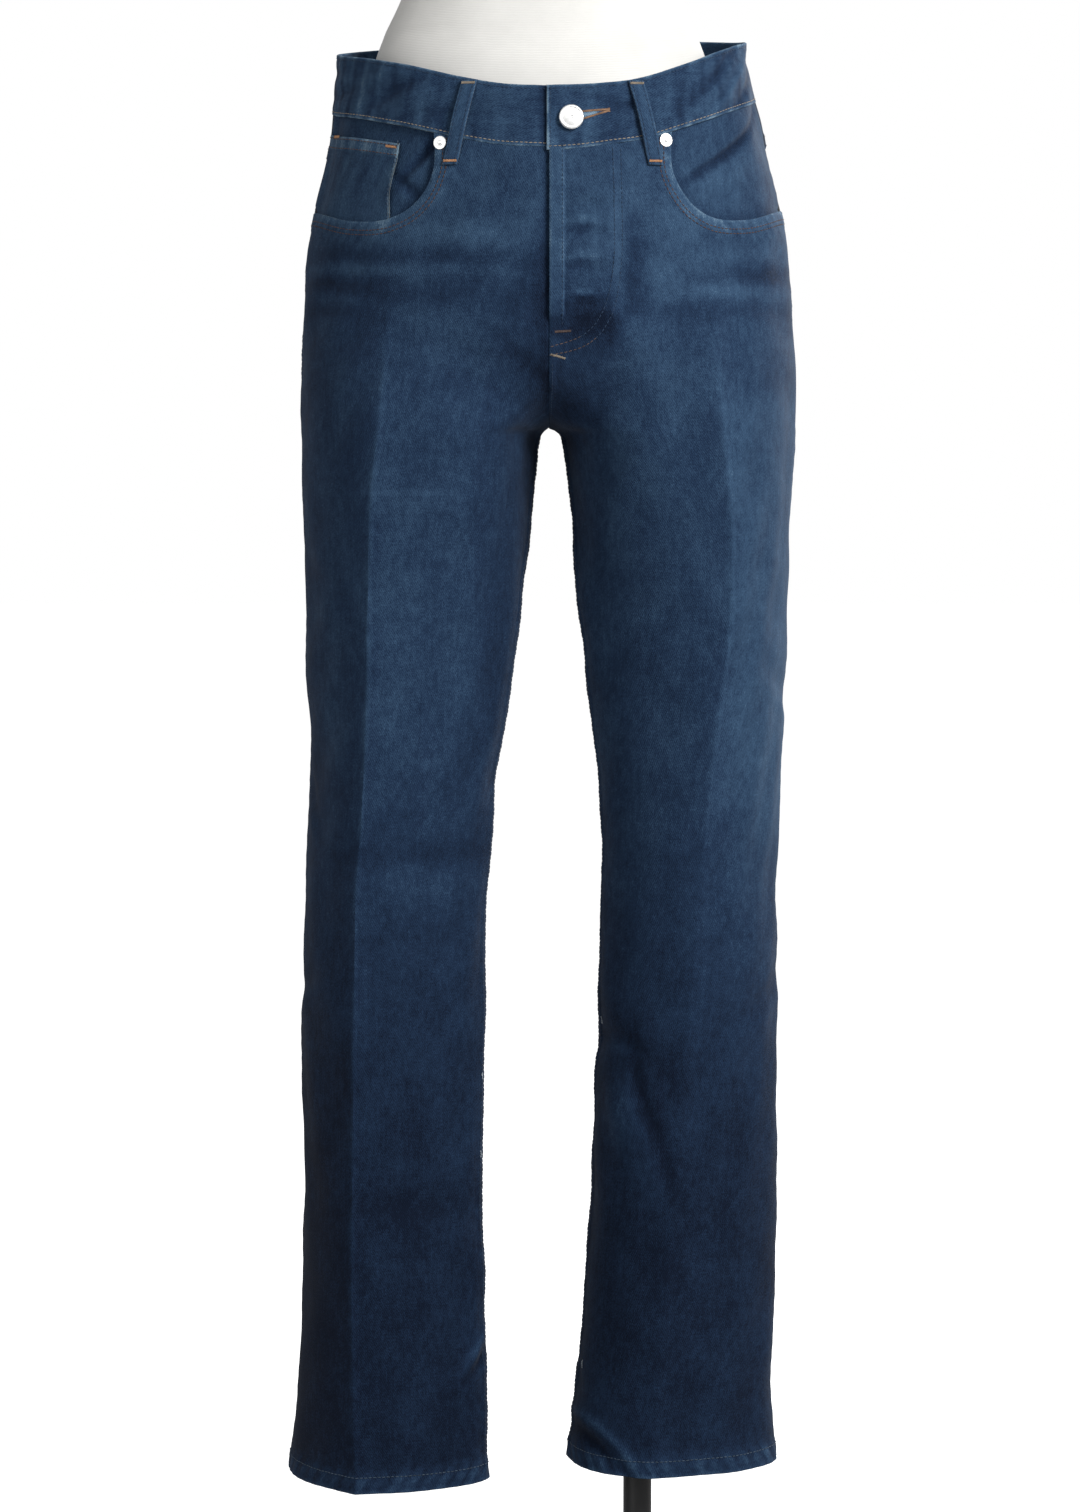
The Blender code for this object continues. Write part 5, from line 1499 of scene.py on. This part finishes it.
nickel, tree = new_material("satin_nickel")
here = add_node(tree, "ShaderNodeTexCoord").outputs["Object"]
scuffs = grain(tree, here, 2600.0, 4.0)
dull = add_node(tree, "ShaderNodeMapRange", {"Value": scuffs, "To Min": 0.30, "To Max": 0.48}).outputs[0]
shade = two_tones(tree, grain(tree, here, 420.0, 3.0), NICKEL, 0.3, 0.7, 0.8, 1.0)
dents = bumps(tree, scuffs, 0.25, 0.0001)
surface_look(tree, {"Base Color": shade, "Metallic": 1.0, "Roughness": dull, "Normal": dents})


def turned_piece(name, profile, centre, axis, look, steps=RING_STEPS):
    """A solid turned about an axis through centre, from (radius, height) pairs, foot to top."""
    axis = unit(np.array(axis, float))
    side_on = np.array((0.0, 0.0, 1.0)) if abs(axis[2]) < 0.9 else np.array((1.0, 0.0, 0.0))
    across = unit(np.cross(side_on, axis))
    up = np.cross(axis, across)
    vertices, faces, rings = [], [], []
    for radius, height in profile:
        count = steps if radius > 0 else 1
        rings.append(range(len(vertices), len(vertices) + count))
        for k in range(count):
            angle = 2 * math.pi * k / steps
            spoke = math.cos(angle) * across + math.sin(angle) * up
            vertices.append((np.array(centre) + radius * spoke + height * axis) * MM)
    for low, high in zip(rings, rings[1:]):
        for k in range(steps):
            after = (k + 1) % steps
            if len(high) == 1:
                faces.append((low[k], low[after], high[0]))
            else:
                faces.append((low[k], low[after], high[after], high[k]))
    faces.append(tuple(reversed(rings[0])))
    if len(rings[-1]) > 1:
        faces.append(tuple(rings[-1]))
    mesh = bpy.data.meshes.new(name)
    mesh.from_pydata([tuple(v) for v in vertices], [], faces)
    mesh.shade_smooth()
    mesh.set_sharp_from_angle(angle=math.radians(TURNED_SHARP))
    mesh.materials.append(look)
    return link_object(name, mesh)


def seat_on_front(side, x, z, lift):
    """A fitting's seat on the front, x from the centre, and its way out."""
    u = share_at_x(side, z, x)
    return on_cloth(side, u, np.float64(z), lift), way_out(side, u, np.float64(z))


seat, axis = seat_on_front(LEFT, BUTTON_X, BUTTON_Z, BAND_OUT + BAND_WALL + 2 * BAND_GAP)
button = turned_piece("button", BUTTON, seat, axis, nickel)
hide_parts("shank_button")
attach(button, "root")
for side in SIDES:
    seat, axis = seat_on_front(side, RIVET_X[side], RIVET_Z[side], MOUTH_LIFT)
    made = turned_piece("rivet_cap_" + WORD[side], RIVET, seat, axis, nickel)
    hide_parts("rivet_" + WORD[side])
    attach(made, "root")

# ---- Trouser form ----------------------------------------------------------------------------
# A limbless hip form of foam in off-white jersey, which fills the jeans out. It is closed on top
# and its foot is drawn in to a flat underside.

FORM_BODY = (  # height, and how far it lies inside the outer face of the jeans
    (1168, 34), (1146, 26), (1115, 21), (1080, 17), (1048, 13), (1020, 9), (1000, 2.1),
    (980, 3.2), (961, 4.2),
)
FORM_TOP = ((1217, 0.70), (1213, 0.80), (1205, 0.86), (1190, 0.91))  # height, share of the rim
FORM_CROWN = ((0.68, 0.2), (0.6, 0.6), (0.4, 1.2), (0.2, 1.5), (0.02, 1.6))  # share, rise
FORM_FOOT = ((941, 0.87), (925, 0.75), (913, 0.62), (905, 0.48))
FORM_ROUND, FORM_BODY_ROWS, FORM_END_ROWS = 90, 60, 22
FORM_IN = 1.6  # how much deeper it lies here than its solid does, to clear the cloth's small folds
JERSEY = (0.74, 0.73, 0.70)
FORM_SHARP = 60  # degrees from which its edges are sharp

jersey, tree = new_material("off_white_jersey")
here = add_node(tree, "ShaderNodeTexCoord").outputs["Object"]
courses = add_node(
    tree,
    "ShaderNodeTexWave",
    {"Vector": here, "Scale": 260.0, "Distortion": 2.5, "Detail": 2.0},
    bands_direction="Z",
).outputs["Fac"]
shade = two_tones(tree, grain(tree, here, 24.0, 4.0), JERSEY, 0.25, 0.7, 0.88, 1.0)
knit = bumps(tree, courses, 0.3, 0.0002)
surface_look(
    tree,
    {"Base Color": shade, "Roughness": 0.8, "Sheen Weight": 0.15, "Normal": knit},
)

rim_z, foot_z = FORM_BODY[0][0], FORM_BODY[-1][0]
round_u = np.linspace(0, 1, FORM_ROUND + 1)[None]
levels = np.linspace(rim_z, foot_z, FORM_BODY_ROWS)[:, None]
inset = read_table(FORM_BODY, levels)[0][..., None] + FORM_IN
halves = [
    surface(side, round_u, levels) - unit(way_out(side, round_u, levels)) * inset
    for side in (LEFT, RIGHT)
]
body_rings = np.concatenate([halves[0], halves[1][:, -2:0:-1]], axis=1)


def drawn_in(ring, rows, start, end):
    """Rings that leave a ring and draw in, by (height, share of the ring) rows."""
    levels = np.linspace(start, end, FORM_END_ROWS)[1:]
    shares = read_table([(start, 1.0), *rows], levels)[0]
    return [np.column_stack([ring[:, :2] * s, np.full(len(ring), z)]) for z, s in zip(levels, shares)]


top_rings = drawn_in(body_rings[0], FORM_TOP, rim_z, FORM_TOP[0][0])
foot_rings = drawn_in(body_rings[-1], FORM_FOOT, foot_z, FORM_FOOT[-1][0])
crown = [
    np.column_stack([body_rings[0][:, :2] * s, np.full(len(body_rings[0]), FORM_TOP[0][0] + rise)])
    for s, rise in FORM_CROWN
]
rings = [*crown[::-1], *top_rings[::-1], *body_rings, *foot_rings]
count = len(rings[0])
faces = [tuple(range(count)), tuple(reversed(range((len(rings) - 1) * count, len(rings) * count)))]
for i in range(len(rings) - 1):
    for j in range(count):
        a, b = i * count + j, i * count + (j + 1) % count
        faces.append((a, a + count, b + count, b))
mesh = bpy.data.meshes.new("form_body")
mesh.from_pydata((np.concatenate(rings) * MM).tolist(), [], faces)
mesh.shade_smooth()
mesh.set_sharp_from_angle(angle=math.radians(FORM_SHARP))
mesh.materials.append(jersey)
form = link_object("form_body", mesh)
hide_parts("trouser_form")
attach(form, "root")

# ---- Pole and base ---------------------------------------------------------------------------
# A steel tube with a socket ring and a flange, and a spun steel plate, all in satin black powder
# coat. The pole comes down through the wearer's left leg.

POLE_X = 66.0
POLE = (
    (19.0, 8.3), (19.0, 31.0), (18.6, 32.3), (17.6, 33.4), (16.2, 34.0), (11.6, 34.0), (10.8, 34.3),
    (10.5, 35.0), (10.5, 899.0), (19.2, 899.0), (20.0, 899.8), (20.0, 904.7),
)
BASE = (
    (198.8, 0.0), (199.6, 0.3), (200.0, 1.0), (200.0, 5.0), (199.6, 6.5), (198.7, 7.5), (197.0, 8.0),
    (21.0, 8.0),
)
BASE_STEPS = 160
BLACK = (0.013, 0.013, 0.014)

powder_coat, tree = new_material("satin_black_powder_coat")
here = add_node(tree, "ShaderNodeTexCoord").outputs["Object"]
pimples = grain(tree, here, 1500.0, 2.0)
rubbed = add_node(
    tree, "ShaderNodeMapRange", {"Value": grain(tree, here, 30.0, 5.0), "To Min": 0.34, "To Max": 0.52}
).outputs[0]
shade = two_tones(tree, grain(tree, here, 60.0, 4.0), BLACK, 0.0, 1.0, 0.7, 1.4)
orange_peel = bumps(tree, pimples, 0.3, 0.0001)
surface_look(
    tree,
    {
        "Base Color": shade,
        "Roughness": rubbed,
        "Specular IOR Level": 0.3,
        "Normal": orange_peel,
    },
)

pole = turned_piece("pole", POLE, (POLE_X, 0, 0), (0, 0, 1), powder_coat)
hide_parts("stand_pole")
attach(pole, "root")
base = turned_piece("base_plate", BASE, (0, 0, 0), (0, 0, 1), powder_coat, BASE_STEPS)
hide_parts("stand_base")
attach(base, "root")

# ---- Topstitching ----------------------------------------------------------------------------
# Lockstitches in polyester thread along the folded edges and seams: tan on the band's foot and the back,
# rust at the pockets, brown at the fly's foot, and navy or grey blue elsewhere. Each stitch is a small
# bead that tapers at both of its ends and lies sunk a little into the cloth.

THREADS = {  # the colour of each thread
    "tan": (0.270, 0.225, 0.175),
    "rust": (0.080, 0.044, 0.034),
    "navy": (0.021, 0.040, 0.078),
    "grey_blue": (0.055, 0.080, 0.115),
    "pale_blue": (0.300, 0.340, 0.380),
    "brown": (0.090, 0.064, 0.058),
    "orange": (0.480, 0.250, 0.130),
    "ochre": (0.250, 0.150, 0.095),
}
STITCH_PITCH, STITCH_LENGTH, STITCH_WIDTH, STITCH_LIFT = 3.3, 2.95, 0.72, 0.06
STITCH_LEAN, STITCH_SEED = 5.0, 3  # how many degrees a stitch may lean, and their seed
TWIST_SCALE, BAND_ROW_POINTS, OUTLINE_POINTS = 2600.0, 330, 44


def thread_look(name, colour):
    """Twisted thread, its colour a little uneven along it."""
    material, tree = new_material("thread_" + name)
    here = add_node(tree, "ShaderNodeTexCoord").outputs["Object"]
    shade = two_tones(tree, grain(tree, here, 160.0, 4.0), colour, 0.3, 0.75, 0.55, 1.35)
    ply = bumps(tree, grain(tree, here, TWIST_SCALE, 2.0), 0.5, 0.0001)
    surface_look(
        tree,
        {
            "Base Color": shade,
            "Roughness": 0.7,
            "Specular IOR Level": 0.15,
            "Sheen Weight": 0.03,
            "Normal": ply,
        },
    )
    return material


thread_looks = {name: thread_look(name, colour) for name, colour in THREADS.items()}

stitching = bpy.data.node_groups.new("stitches_along_rows", "GeometryNodeTree")
stitching.interface.new_socket("Stitches", in_out="OUTPUT", socket_type="NodeSocketGeometry")
SOCKETS = {}
for name, kind in (
    ("Rows", "NodeSocketGeometry"),
    ("Pitch", "NodeSocketFloat"),
    ("Length", "NodeSocketFloat"),
    ("Width", "NodeSocketFloat"),
    ("Turn", "NodeSocketFloat"),
    ("Unevenness", "NodeSocketFloat"),
    ("Seed", "NodeSocketInt"),
    ("Thread", "NodeSocketMaterial"),
):
    SOCKETS[name] = stitching.interface.new_socket(name, in_out="INPUT", socket_type=kind).identifier
rows_in = stitching.nodes.new("NodeGroupInput").outputs
curve = add_node(stitching, "GeometryNodeMeshToCurve", {"Mesh": rows_in["Rows"]}).outputs[0]
even = add_node(
    stitching, "GeometryNodeResampleCurve", {"Curve": curve, "Length": rows_in["Pitch"]}, mode="LENGTH"
).outputs[0]
tangent = add_node(stitching, "GeometryNodeInputTangent").outputs[0]
outward = add_node(
    stitching, "GeometryNodeInputNamedAttribute", {"Name": "outward"}, data_type="FLOAT_VECTOR"
).outputs[0]
ahead = add_node(
    stitching, "FunctionNodeAlignRotationToVector", {"Vector": tangent}, axis="X"
).outputs[0]
upright = add_node(
    stitching,
    "FunctionNodeAlignRotationToVector",
    {"Rotation": ahead, "Vector": outward},
    axis="Z",
    pivot_axis="X",
).outputs[0]
lean = add_node(stitching, "FunctionNodeRandomValue", {"Seed": rows_in["Seed"]}, data_type="FLOAT")
lean.inputs[2].default_value = -1.0
lean.inputs[3].default_value = 1.0
leaning = math_node(stitching, "MULTIPLY", lean.outputs[1], rows_in["Unevenness"])
turn = math_node(stitching, "ADD", rows_in["Turn"], leaning)
turn = add_node(stitching, "ShaderNodeCombineXYZ", {"Z": turn}).outputs[0]
turn = add_node(stitching, "FunctionNodeEulerToRotation", {"Euler": turn}).outputs[0]
facing_out = add_node(
    stitching,
    "FunctionNodeRotateRotation",
    {"Rotation": upright, "Rotate By": turn},
    rotation_space="LOCAL",
).outputs[0]
size = {"X": rows_in["Length"], "Y": rows_in["Width"], "Z": rows_in["Width"]}
size = add_node(stitching, "ShaderNodeCombineXYZ", size).outputs[0]
bead = add_node(stitching, "GeometryNodeMeshUVSphere", {"Segments": 6, "Rings": 5, "Radius": 0.5})
placed = add_node(
    stitching,
    "GeometryNodeInstanceOnPoints",
    {"Points": even, "Instance": bead.outputs[0], "Rotation": facing_out, "Scale": size},
).outputs[0]
made = add_node(stitching, "GeometryNodeRealizeInstances", {"Geometry": placed}).outputs[0]
made = add_node(stitching, "GeometryNodeSetShadeSmooth", {"Geometry": made}).outputs[0]
made = add_node(
    stitching, "GeometryNodeSetMaterial", {"Geometry": made, "Material": rows_in["Thread"]}
).outputs[0]
add_node(stitching, "NodeGroupOutput", {"Stitches": made})


def sew(
    name,
    rows,
    thread,
    pitch=STITCH_PITCH,
    length=STITCH_LENGTH,
    width=STITCH_WIDTH,
    turn=0.0,
    lean=STITCH_LEAN,
):
    """A piece of stitches along rows, each row its places in millimetres and the ways out."""
    places = np.concatenate([place for place, _ in rows])
    ways = np.concatenate([way for _, way in rows])
    counts = [len(place) for place, _ in rows]
    ends = np.cumsum(counts)
    joined = np.setdiff1d(np.arange(len(places) - 1), ends[:-1] - 1)
    path = bpy.data.meshes.new(name + "_path")
    path.from_pydata((places * MM).tolist(), np.stack([joined, joined + 1], -1).tolist(), [])
    path.attributes.new("outward", "FLOAT_VECTOR", "POINT").data.foreach_set("vector", ways.ravel())
    guide = link_object(name + "_path", path)
    modifier = guide.modifiers.new("stitches", "NODES")
    modifier.node_group = stitching
    for key, value in (
        ("Pitch", pitch * MM),
        ("Length", length * MM),
        ("Width", width * MM),
        ("Turn", math.radians(turn)),
        ("Unevenness", math.radians(lean)),
        ("Seed", STITCH_SEED),
        ("Thread", thread_looks[thread]),
    ):
        modifier[SOCKETS[key]] = value
    ready = guide.evaluated_get(bpy.context.evaluated_depsgraph_get())
    mesh = bpy.data.meshes.new_from_object(ready)
    mesh.materials.pop(index=0)  # the path's own empty one
    mesh.name = name
    bpy.data.objects.remove(guide)
    made = link_object(name, mesh)
    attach(made, "root")
    return made


def row_on(side, u, z, lift_at):
    """A row of stitches through places on one half, on a piece that stands lift_at out there."""
    u, z = matched(u, z)
    place = on_cloth(side, u, z, lift_at(side, u, z) + STITCH_LIFT)
    return place, unit(way_out(side, u, z))


def on_band(side, u, down, lapped):
    """A row of stitches through places on the band, down from its top edge."""
    z = waist_top(side, u) - down
    lift = band_lift(side, u, down, lapped) - CHANNEL + STITCH_LIFT
    return on_cloth(side, u, z, lift), unit(way_out(side, u, z))


def band_row(side, start, end, under_top, lapped, over_foot=None):
    """A row round the band, so far under its top edge, or over its foot."""
    u = np.linspace(start, end, BAND_ROW_POINTS)
    down = under_top if over_foot is None else band_height(u, lapped) - over_foot
    return on_band(side, u, down, lapped)


def joined(*rows):
    return tuple(np.concatenate(parts) for parts in zip(*rows))


EDGE_ROW, SECOND_ROW = 2.0, 8.4  # how far the two rows lie from a folded edge
lap_stitch_u = float(share_at_x(LEFT, WAIST_FIT_Z, CHANNEL_IN - BAND_LAP))
down = np.linspace(BAND_HEIGHT + LAP_DROP - CHANNEL_IN, CHANNEL_IN, 30)
closing = on_band(LEFT, np.full(30, lap_stitch_u), down, 1)
foot = joined(
    band_row(RIGHT, 0.0, 1.0, None, 0, CHANNEL_IN),
    band_row(LEFT, 0.999, lap_stitch_u, None, 1, CHANNEL_IN),
)
sew("stitches_band_foot", [foot], "tan")
top = joined(
    band_row(RIGHT, 0.0, 1.0, CHANNEL_IN, 0),
    band_row(LEFT, 0.999, lap_stitch_u, CHANNEL_IN, 1),
)
sew("stitches_band_top", [top, closing], "navy")


def beside_mouth(side, distance):
    """A curve on a front, a distance from its pocket mouth."""
    curve_u, curve_z = MOUTH_CURVES[side]
    a = along(side, curve_u, curve_z)
    step_a, step_z = np.gradient(a), np.gradient(curve_z)
    size = np.hypot(step_a, step_z)
    a, z = a + distance * step_z / size, curve_z - distance * step_a / size
    u = share_along(side, z, a)
    clear = (z < waist_seam(side, u) - 1.5) & (u < 0.496)
    return u[clear], z[clear]


rows = [
    row_on(side, *beside_mouth(side, distance), front_lift)
    for side in SIDES
    for distance in (6.2, 9.4)
]
sew("stitches_pocket_mouths", rows, "rust")

coin_u = np.linspace(float(coin_side_u(np.float64(1080), 0.0)) + 0.006, COIN_FAR_U - 0.002, 60)
rows = [
    row_on(RIGHT, coin_u, hip_place(RIGHT, coin_u, COIN_TOP) - distance, coin_lift)
    for distance in (1.8, COIN_HEM - 1.2)
]
side_top, side_foot = (hip_place(RIGHT, COIN_SIDE_U, share) for share in (COIN_TOP, COIN_FOOT))
side_z = np.linspace(side_top - 2, side_foot, 40)
side_u = coin_side_u(side_z, side_z[0] - side_z)
sew("stitches_coin_hem", rows, "rust")
side_u = share_along(RIGHT, side_z, along(RIGHT, side_u, side_z) + EDGE_ROW)
sew("stitches_coin_side", [row_on(RIGHT, side_u, side_z, coin_lift)], "grey_blue")

# the fly's edge strip, the curved stitching that holds its facing, and the seam below it
strip_z = np.linspace(float(waist_seam(LEFT, 0.02)), FLY_FOOT_Z, 70)
strip = row_on(LEFT, share_along(LEFT, strip_z, FLY_STRIP - 1.0), strip_z, front_lift)
FLY_CURVES = (  # distance from the centre, and height
    (
        (2, 935), (14, 937), (26, 941.5), (36, 950), (44, 964), (49, 984), (51, 1010), (51, 1040),
        (50, 1078),
    ),
    (
        (2, 941), (12, 943.5), (22, 947.5), (31, 955), (38, 967), (43, 986), (45, 1010), (45, 1040),
        (44, 1078),
    ),
)
foot_rows, upper_rows = [], []
for corners in FLY_CURVES:
    corners = np.array(corners, float)
    gone = gone_along(corners)
    x, z = read_table([(a, *corner) for a, corner in zip(gone, corners)], np.linspace(0, gone[-1], 120))
    place, way = row_on(LEFT, share_at_x(LEFT, z, x), z, front_lift)
    low = z < FLY_FOOT_Z - 10
    foot_rows.append((place[low], way[low]))
    upper_rows.append((place[~low], way[~low]))
seam_z = np.linspace(928, CROTCH_Z + 8, 40)
upper_rows += [row_on(LEFT, share_along(LEFT, seam_z, EDGE_ROW), seam_z, front_lift), strip]
sew("stitches_fly_foot", foot_rows, "brown")
sew("stitches_fly", upper_rows, "navy")

rows = []
for side in SIDES:
    z = np.linspace(CROTCH_Z - 6, HEM_Z[side] + HEM_DEPTH, 260)
    for distance in (EDGE_ROW, SECOND_ROW):
        rows.append(row_on(side, share_along(side, z, distance), z, front_lift))
    z = np.linspace(MOUTH_CURVES[side][1][-1] - 3, MOUTH_CURVES[side][1][-1] - 130, 50)
    rows.append(row_on(side, share_along(side, z, -EDGE_ROW, 0.5), z, front_lift))
sew("stitches_leg_seams", rows, "navy", width=0.5)

# short pale thread ends beside the inseams: side, u, height, how far they run up
LOOSE_ENDS = ((LEFT, 0.03, 447, 4), (LEFT, 0.05, 190, 5), (RIGHT, 0.03, 407, 4), (RIGHT, 0.03, 349, 4))
ends = []
for side, at_u, at_z, length in LOOSE_ENDS:
    z = np.linspace(at_z, at_z + length, 6)
    ends.append(row_on(side, at_u + 0.002 * np.sin(z), z, front_lift))
sew("thread_ends", ends, "pale_blue", pitch=1.2, length=1.7, width=1.1)

rows = []
for side in SIDES:
    z = HEM_Z[side] + HEM_DEPTH - 1.6
    front_u, back_u = np.linspace(0.0, 0.5, 120), np.linspace(0.5, 0.999, 120)
    rows.append(joined(row_on(side, front_u, z, front_lift), row_on(side, back_u, z, back_lift)))
sew("stitches_hems", rows, "grey_blue")

# the seat seam and the yokes
rows = []
for distance in (EDGE_ROW, SECOND_ROW):
    z = np.linspace(CROTCH_Z + 12, float(yoke_seam(LEFT, 1.0)) - 1, 120)
    rows.append(row_on(LEFT, share_along(LEFT, z, -distance, 1.0), z, back_lift))
    z = np.linspace(float(yoke_seam(LEFT, 1.0)) + 1, float(waist_seam(LEFT, 1.0)) - 0.5, 40)
    rows.append(row_on(LEFT, share_along(LEFT, z, -distance, 1.0), z, yoke_lift))
    for side in SIDES:
        u = np.linspace(0.502, 0.998, 120)
        rows.append(row_on(side, u, yoke_seam(side, u) - YOKE_FOOT_DROP + distance, yoke_lift))
sew("stitches_seat_and_yokes", rows, "tan")


def pocket_row(side, across, down):
    u, z = pocket_place(side, across, down)
    patch = pocket_lift(across, down)
    return row_on(side, u, z, lambda *place: back_lift(*place) + patch)


def pocket_outline(distance):
    """Down a side of a pocket, along its pointed foot and up the other side."""
    corner_down = 1 - distance / (POCKET_HEIGHT - POCKET_POINT)
    down = np.linspace(1.0 / POCKET_HEIGHT, corner_down, OUTLINE_POINTS)
    side_on = 0.5 - distance / (POCKET_WIDTH * lerp(1, POCKET_FOOT, down))
    foot_across = np.linspace(-side_on[-1], side_on[-1], OUTLINE_POINTS)
    foot_down = 1 - distance / (POCKET_HEIGHT - POCKET_POINT * 2 * np.abs(foot_across))
    across = np.concatenate([-side_on, foot_across[1:-1], side_on[::-1]])
    return across, np.concatenate([down, foot_down[1:-1], down[::-1]])


rows = []
for side in SIDES:
    rows += [pocket_row(side, *pocket_outline(distance)) for distance in (EDGE_ROW, SECOND_ROW - 0.8)]
    across = np.linspace(-0.48, 0.48, 60)
    hem_down = (POCKET_HEM - 1.8) / (POCKET_HEIGHT - POCKET_POINT * 2 * np.abs(across))
    rows.append(pocket_row(side, across, hem_down))
sew("stitches_back_pockets", rows, "tan")

rows = []
for loop in LOOPS.values():
    share = np.linspace(0.02, 0.98, 30)
    for across in (-3.5, 3.5):
        rows.append(loop_face(loop, share, np.full(30, across), LOOP_WALL + 0.05 + STITCH_LIFT))
sew("stitches_belt_loops", rows, "navy", width=0.6)

# ---- Bar tacks -------------------------------------------------------------------------------
# Close zigzag bars at the ends of the belt loops, of the fly and of the pockets, where the cloth is
# pulled most: bright orange at the front loops' feet and on the coin pocket, brown and tan at the
# fly, and tan elsewhere.

TACK = {"pitch": 0.46, "length": 2.1, "width": 0.55, "turn": 82.0, "lean": 8.0}
TACK_POINTS, TACK_REACH = 12, 4.6
LOOP_TOP_TACK, LOOP_FOOT_TACK = 0.035, 0.955  # shares of a loop's length


def tack_on(side, x_from, z_from, x_to, z_to, lift_at):
    """A bar on the front between two places, x from the centre."""
    z = np.linspace(z_from, z_to, TACK_POINTS)
    x = np.linspace(x_from, x_to, TACK_POINTS)
    return row_on(side, share_at_x(side, z, x), z, lift_at)


def loop_tack(name, share):
    across = np.linspace(-TACK_REACH, TACK_REACH, TACK_POINTS)
    share = np.full(TACK_POINTS, share)
    return loop_face(LOOPS[name], share, across, LOOP_WALL + 0.3 + STITCH_LIFT)


bright = [
    loop_tack("front_right", LOOP_FOOT_TACK),
    loop_tack("front_left", LOOP_FOOT_TACK),
    tack_on(RIGHT, 109.0, 1081.5, 117.0, 1083.0, coin_lift),
    tack_on(RIGHT, 152.0, 1092.0, 157.0, 1093.0, coin_lift),
]
plain = [loop_tack(name, LOOP_TOP_TACK) for name in LOOPS]
plain += [loop_tack(name, LOOP_FOOT_TACK) for name in LOOPS if not name.startswith("front")]
plain.append(tack_on(LEFT, 0.8, 935.5, 11.0, 932.0, front_lift))
for side in SIDES:
    for across in (-0.472, 0.472):
        down = np.linspace(1.5, 11.0, TACK_POINTS) / POCKET_HEIGHT
        plain.append(pocket_row(side, np.full(TACK_POINTS, across), down))
dark = [tack_on(LEFT, 4.0, 951.0, 15.0, 951.5, front_lift)]
sew("bar_tacks_bright", bright, "orange", **TACK)
sew("bar_tacks_plain", plain, "tan", **TACK)
sew("bar_tacks_dark", dark, "brown", **TACK)

# ---- Buttonhole ------------------------------------------------------------------------------
# A keyhole slit through the lap, edged with close satin stitches. The button's shank pulls it
# open, so it gapes most beside the button.

HOLE_X, HOLE_Z, HOLE_OPEN, HOLE_STEPS = (17.0, 41.0), (1100.4, 1105.6), (3.3, 0.5), 30


def hole_place(share, off):
    """A place on the lap by the slit: a share along it, and millimetres off its middle."""
    z = lerp(HOLE_Z[0], HOLE_Z[1], share) + off
    u = share_at_x(LEFT, z, lerp(HOLE_X[0], HOLE_X[1], share))
    return u, z


def hole_lift(side, u, z):
    return band_lift(side, u, waist_top(side, u) - z, 1) + 0.1


share = np.linspace(0, 1, HOLE_STEPS)
gape = lerp(HOLE_OPEN[0], HOLE_OPEN[1], share)
edges = [row_on(LEFT, *hole_place(share, sign * gape), hole_lift) for sign in (1, -1)]
end_off = np.linspace(-1.2, 1.2, 8)
edges.append(row_on(LEFT, *hole_place(np.full(8, 1.02), end_off), hole_lift))
sew("buttonhole_stitches", edges, "ochre", TACK["pitch"], length=1.8, width=0.6, turn=84, lean=7)

share, off = np.meshgrid(share, np.linspace(-1, 1, 5), indexing="ij")
spread = lerp(HOLE_OPEN[0], HOLE_OPEN[1], share) * off
u, z = hole_place(share.ravel(), spread.ravel())
outer = on_cloth(LEFT, u, z, hole_lift(LEFT, u, z) + 0.05)
inner = on_cloth(LEFT, u, z, hole_lift(LEFT, u, z) - 0.4)
faces = grid_faces(HOLE_STEPS, 5)
frayed = lerp(0.95, 0.05, smooth((share.ravel() - 0.55) / 0.4)) - 0.25 * np.abs(off.ravel())
slit = shell("buttonhole_slit", outer, inner, faces, cloth_place(LEFT, u, z), frayed, denim)
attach(slit, "root")
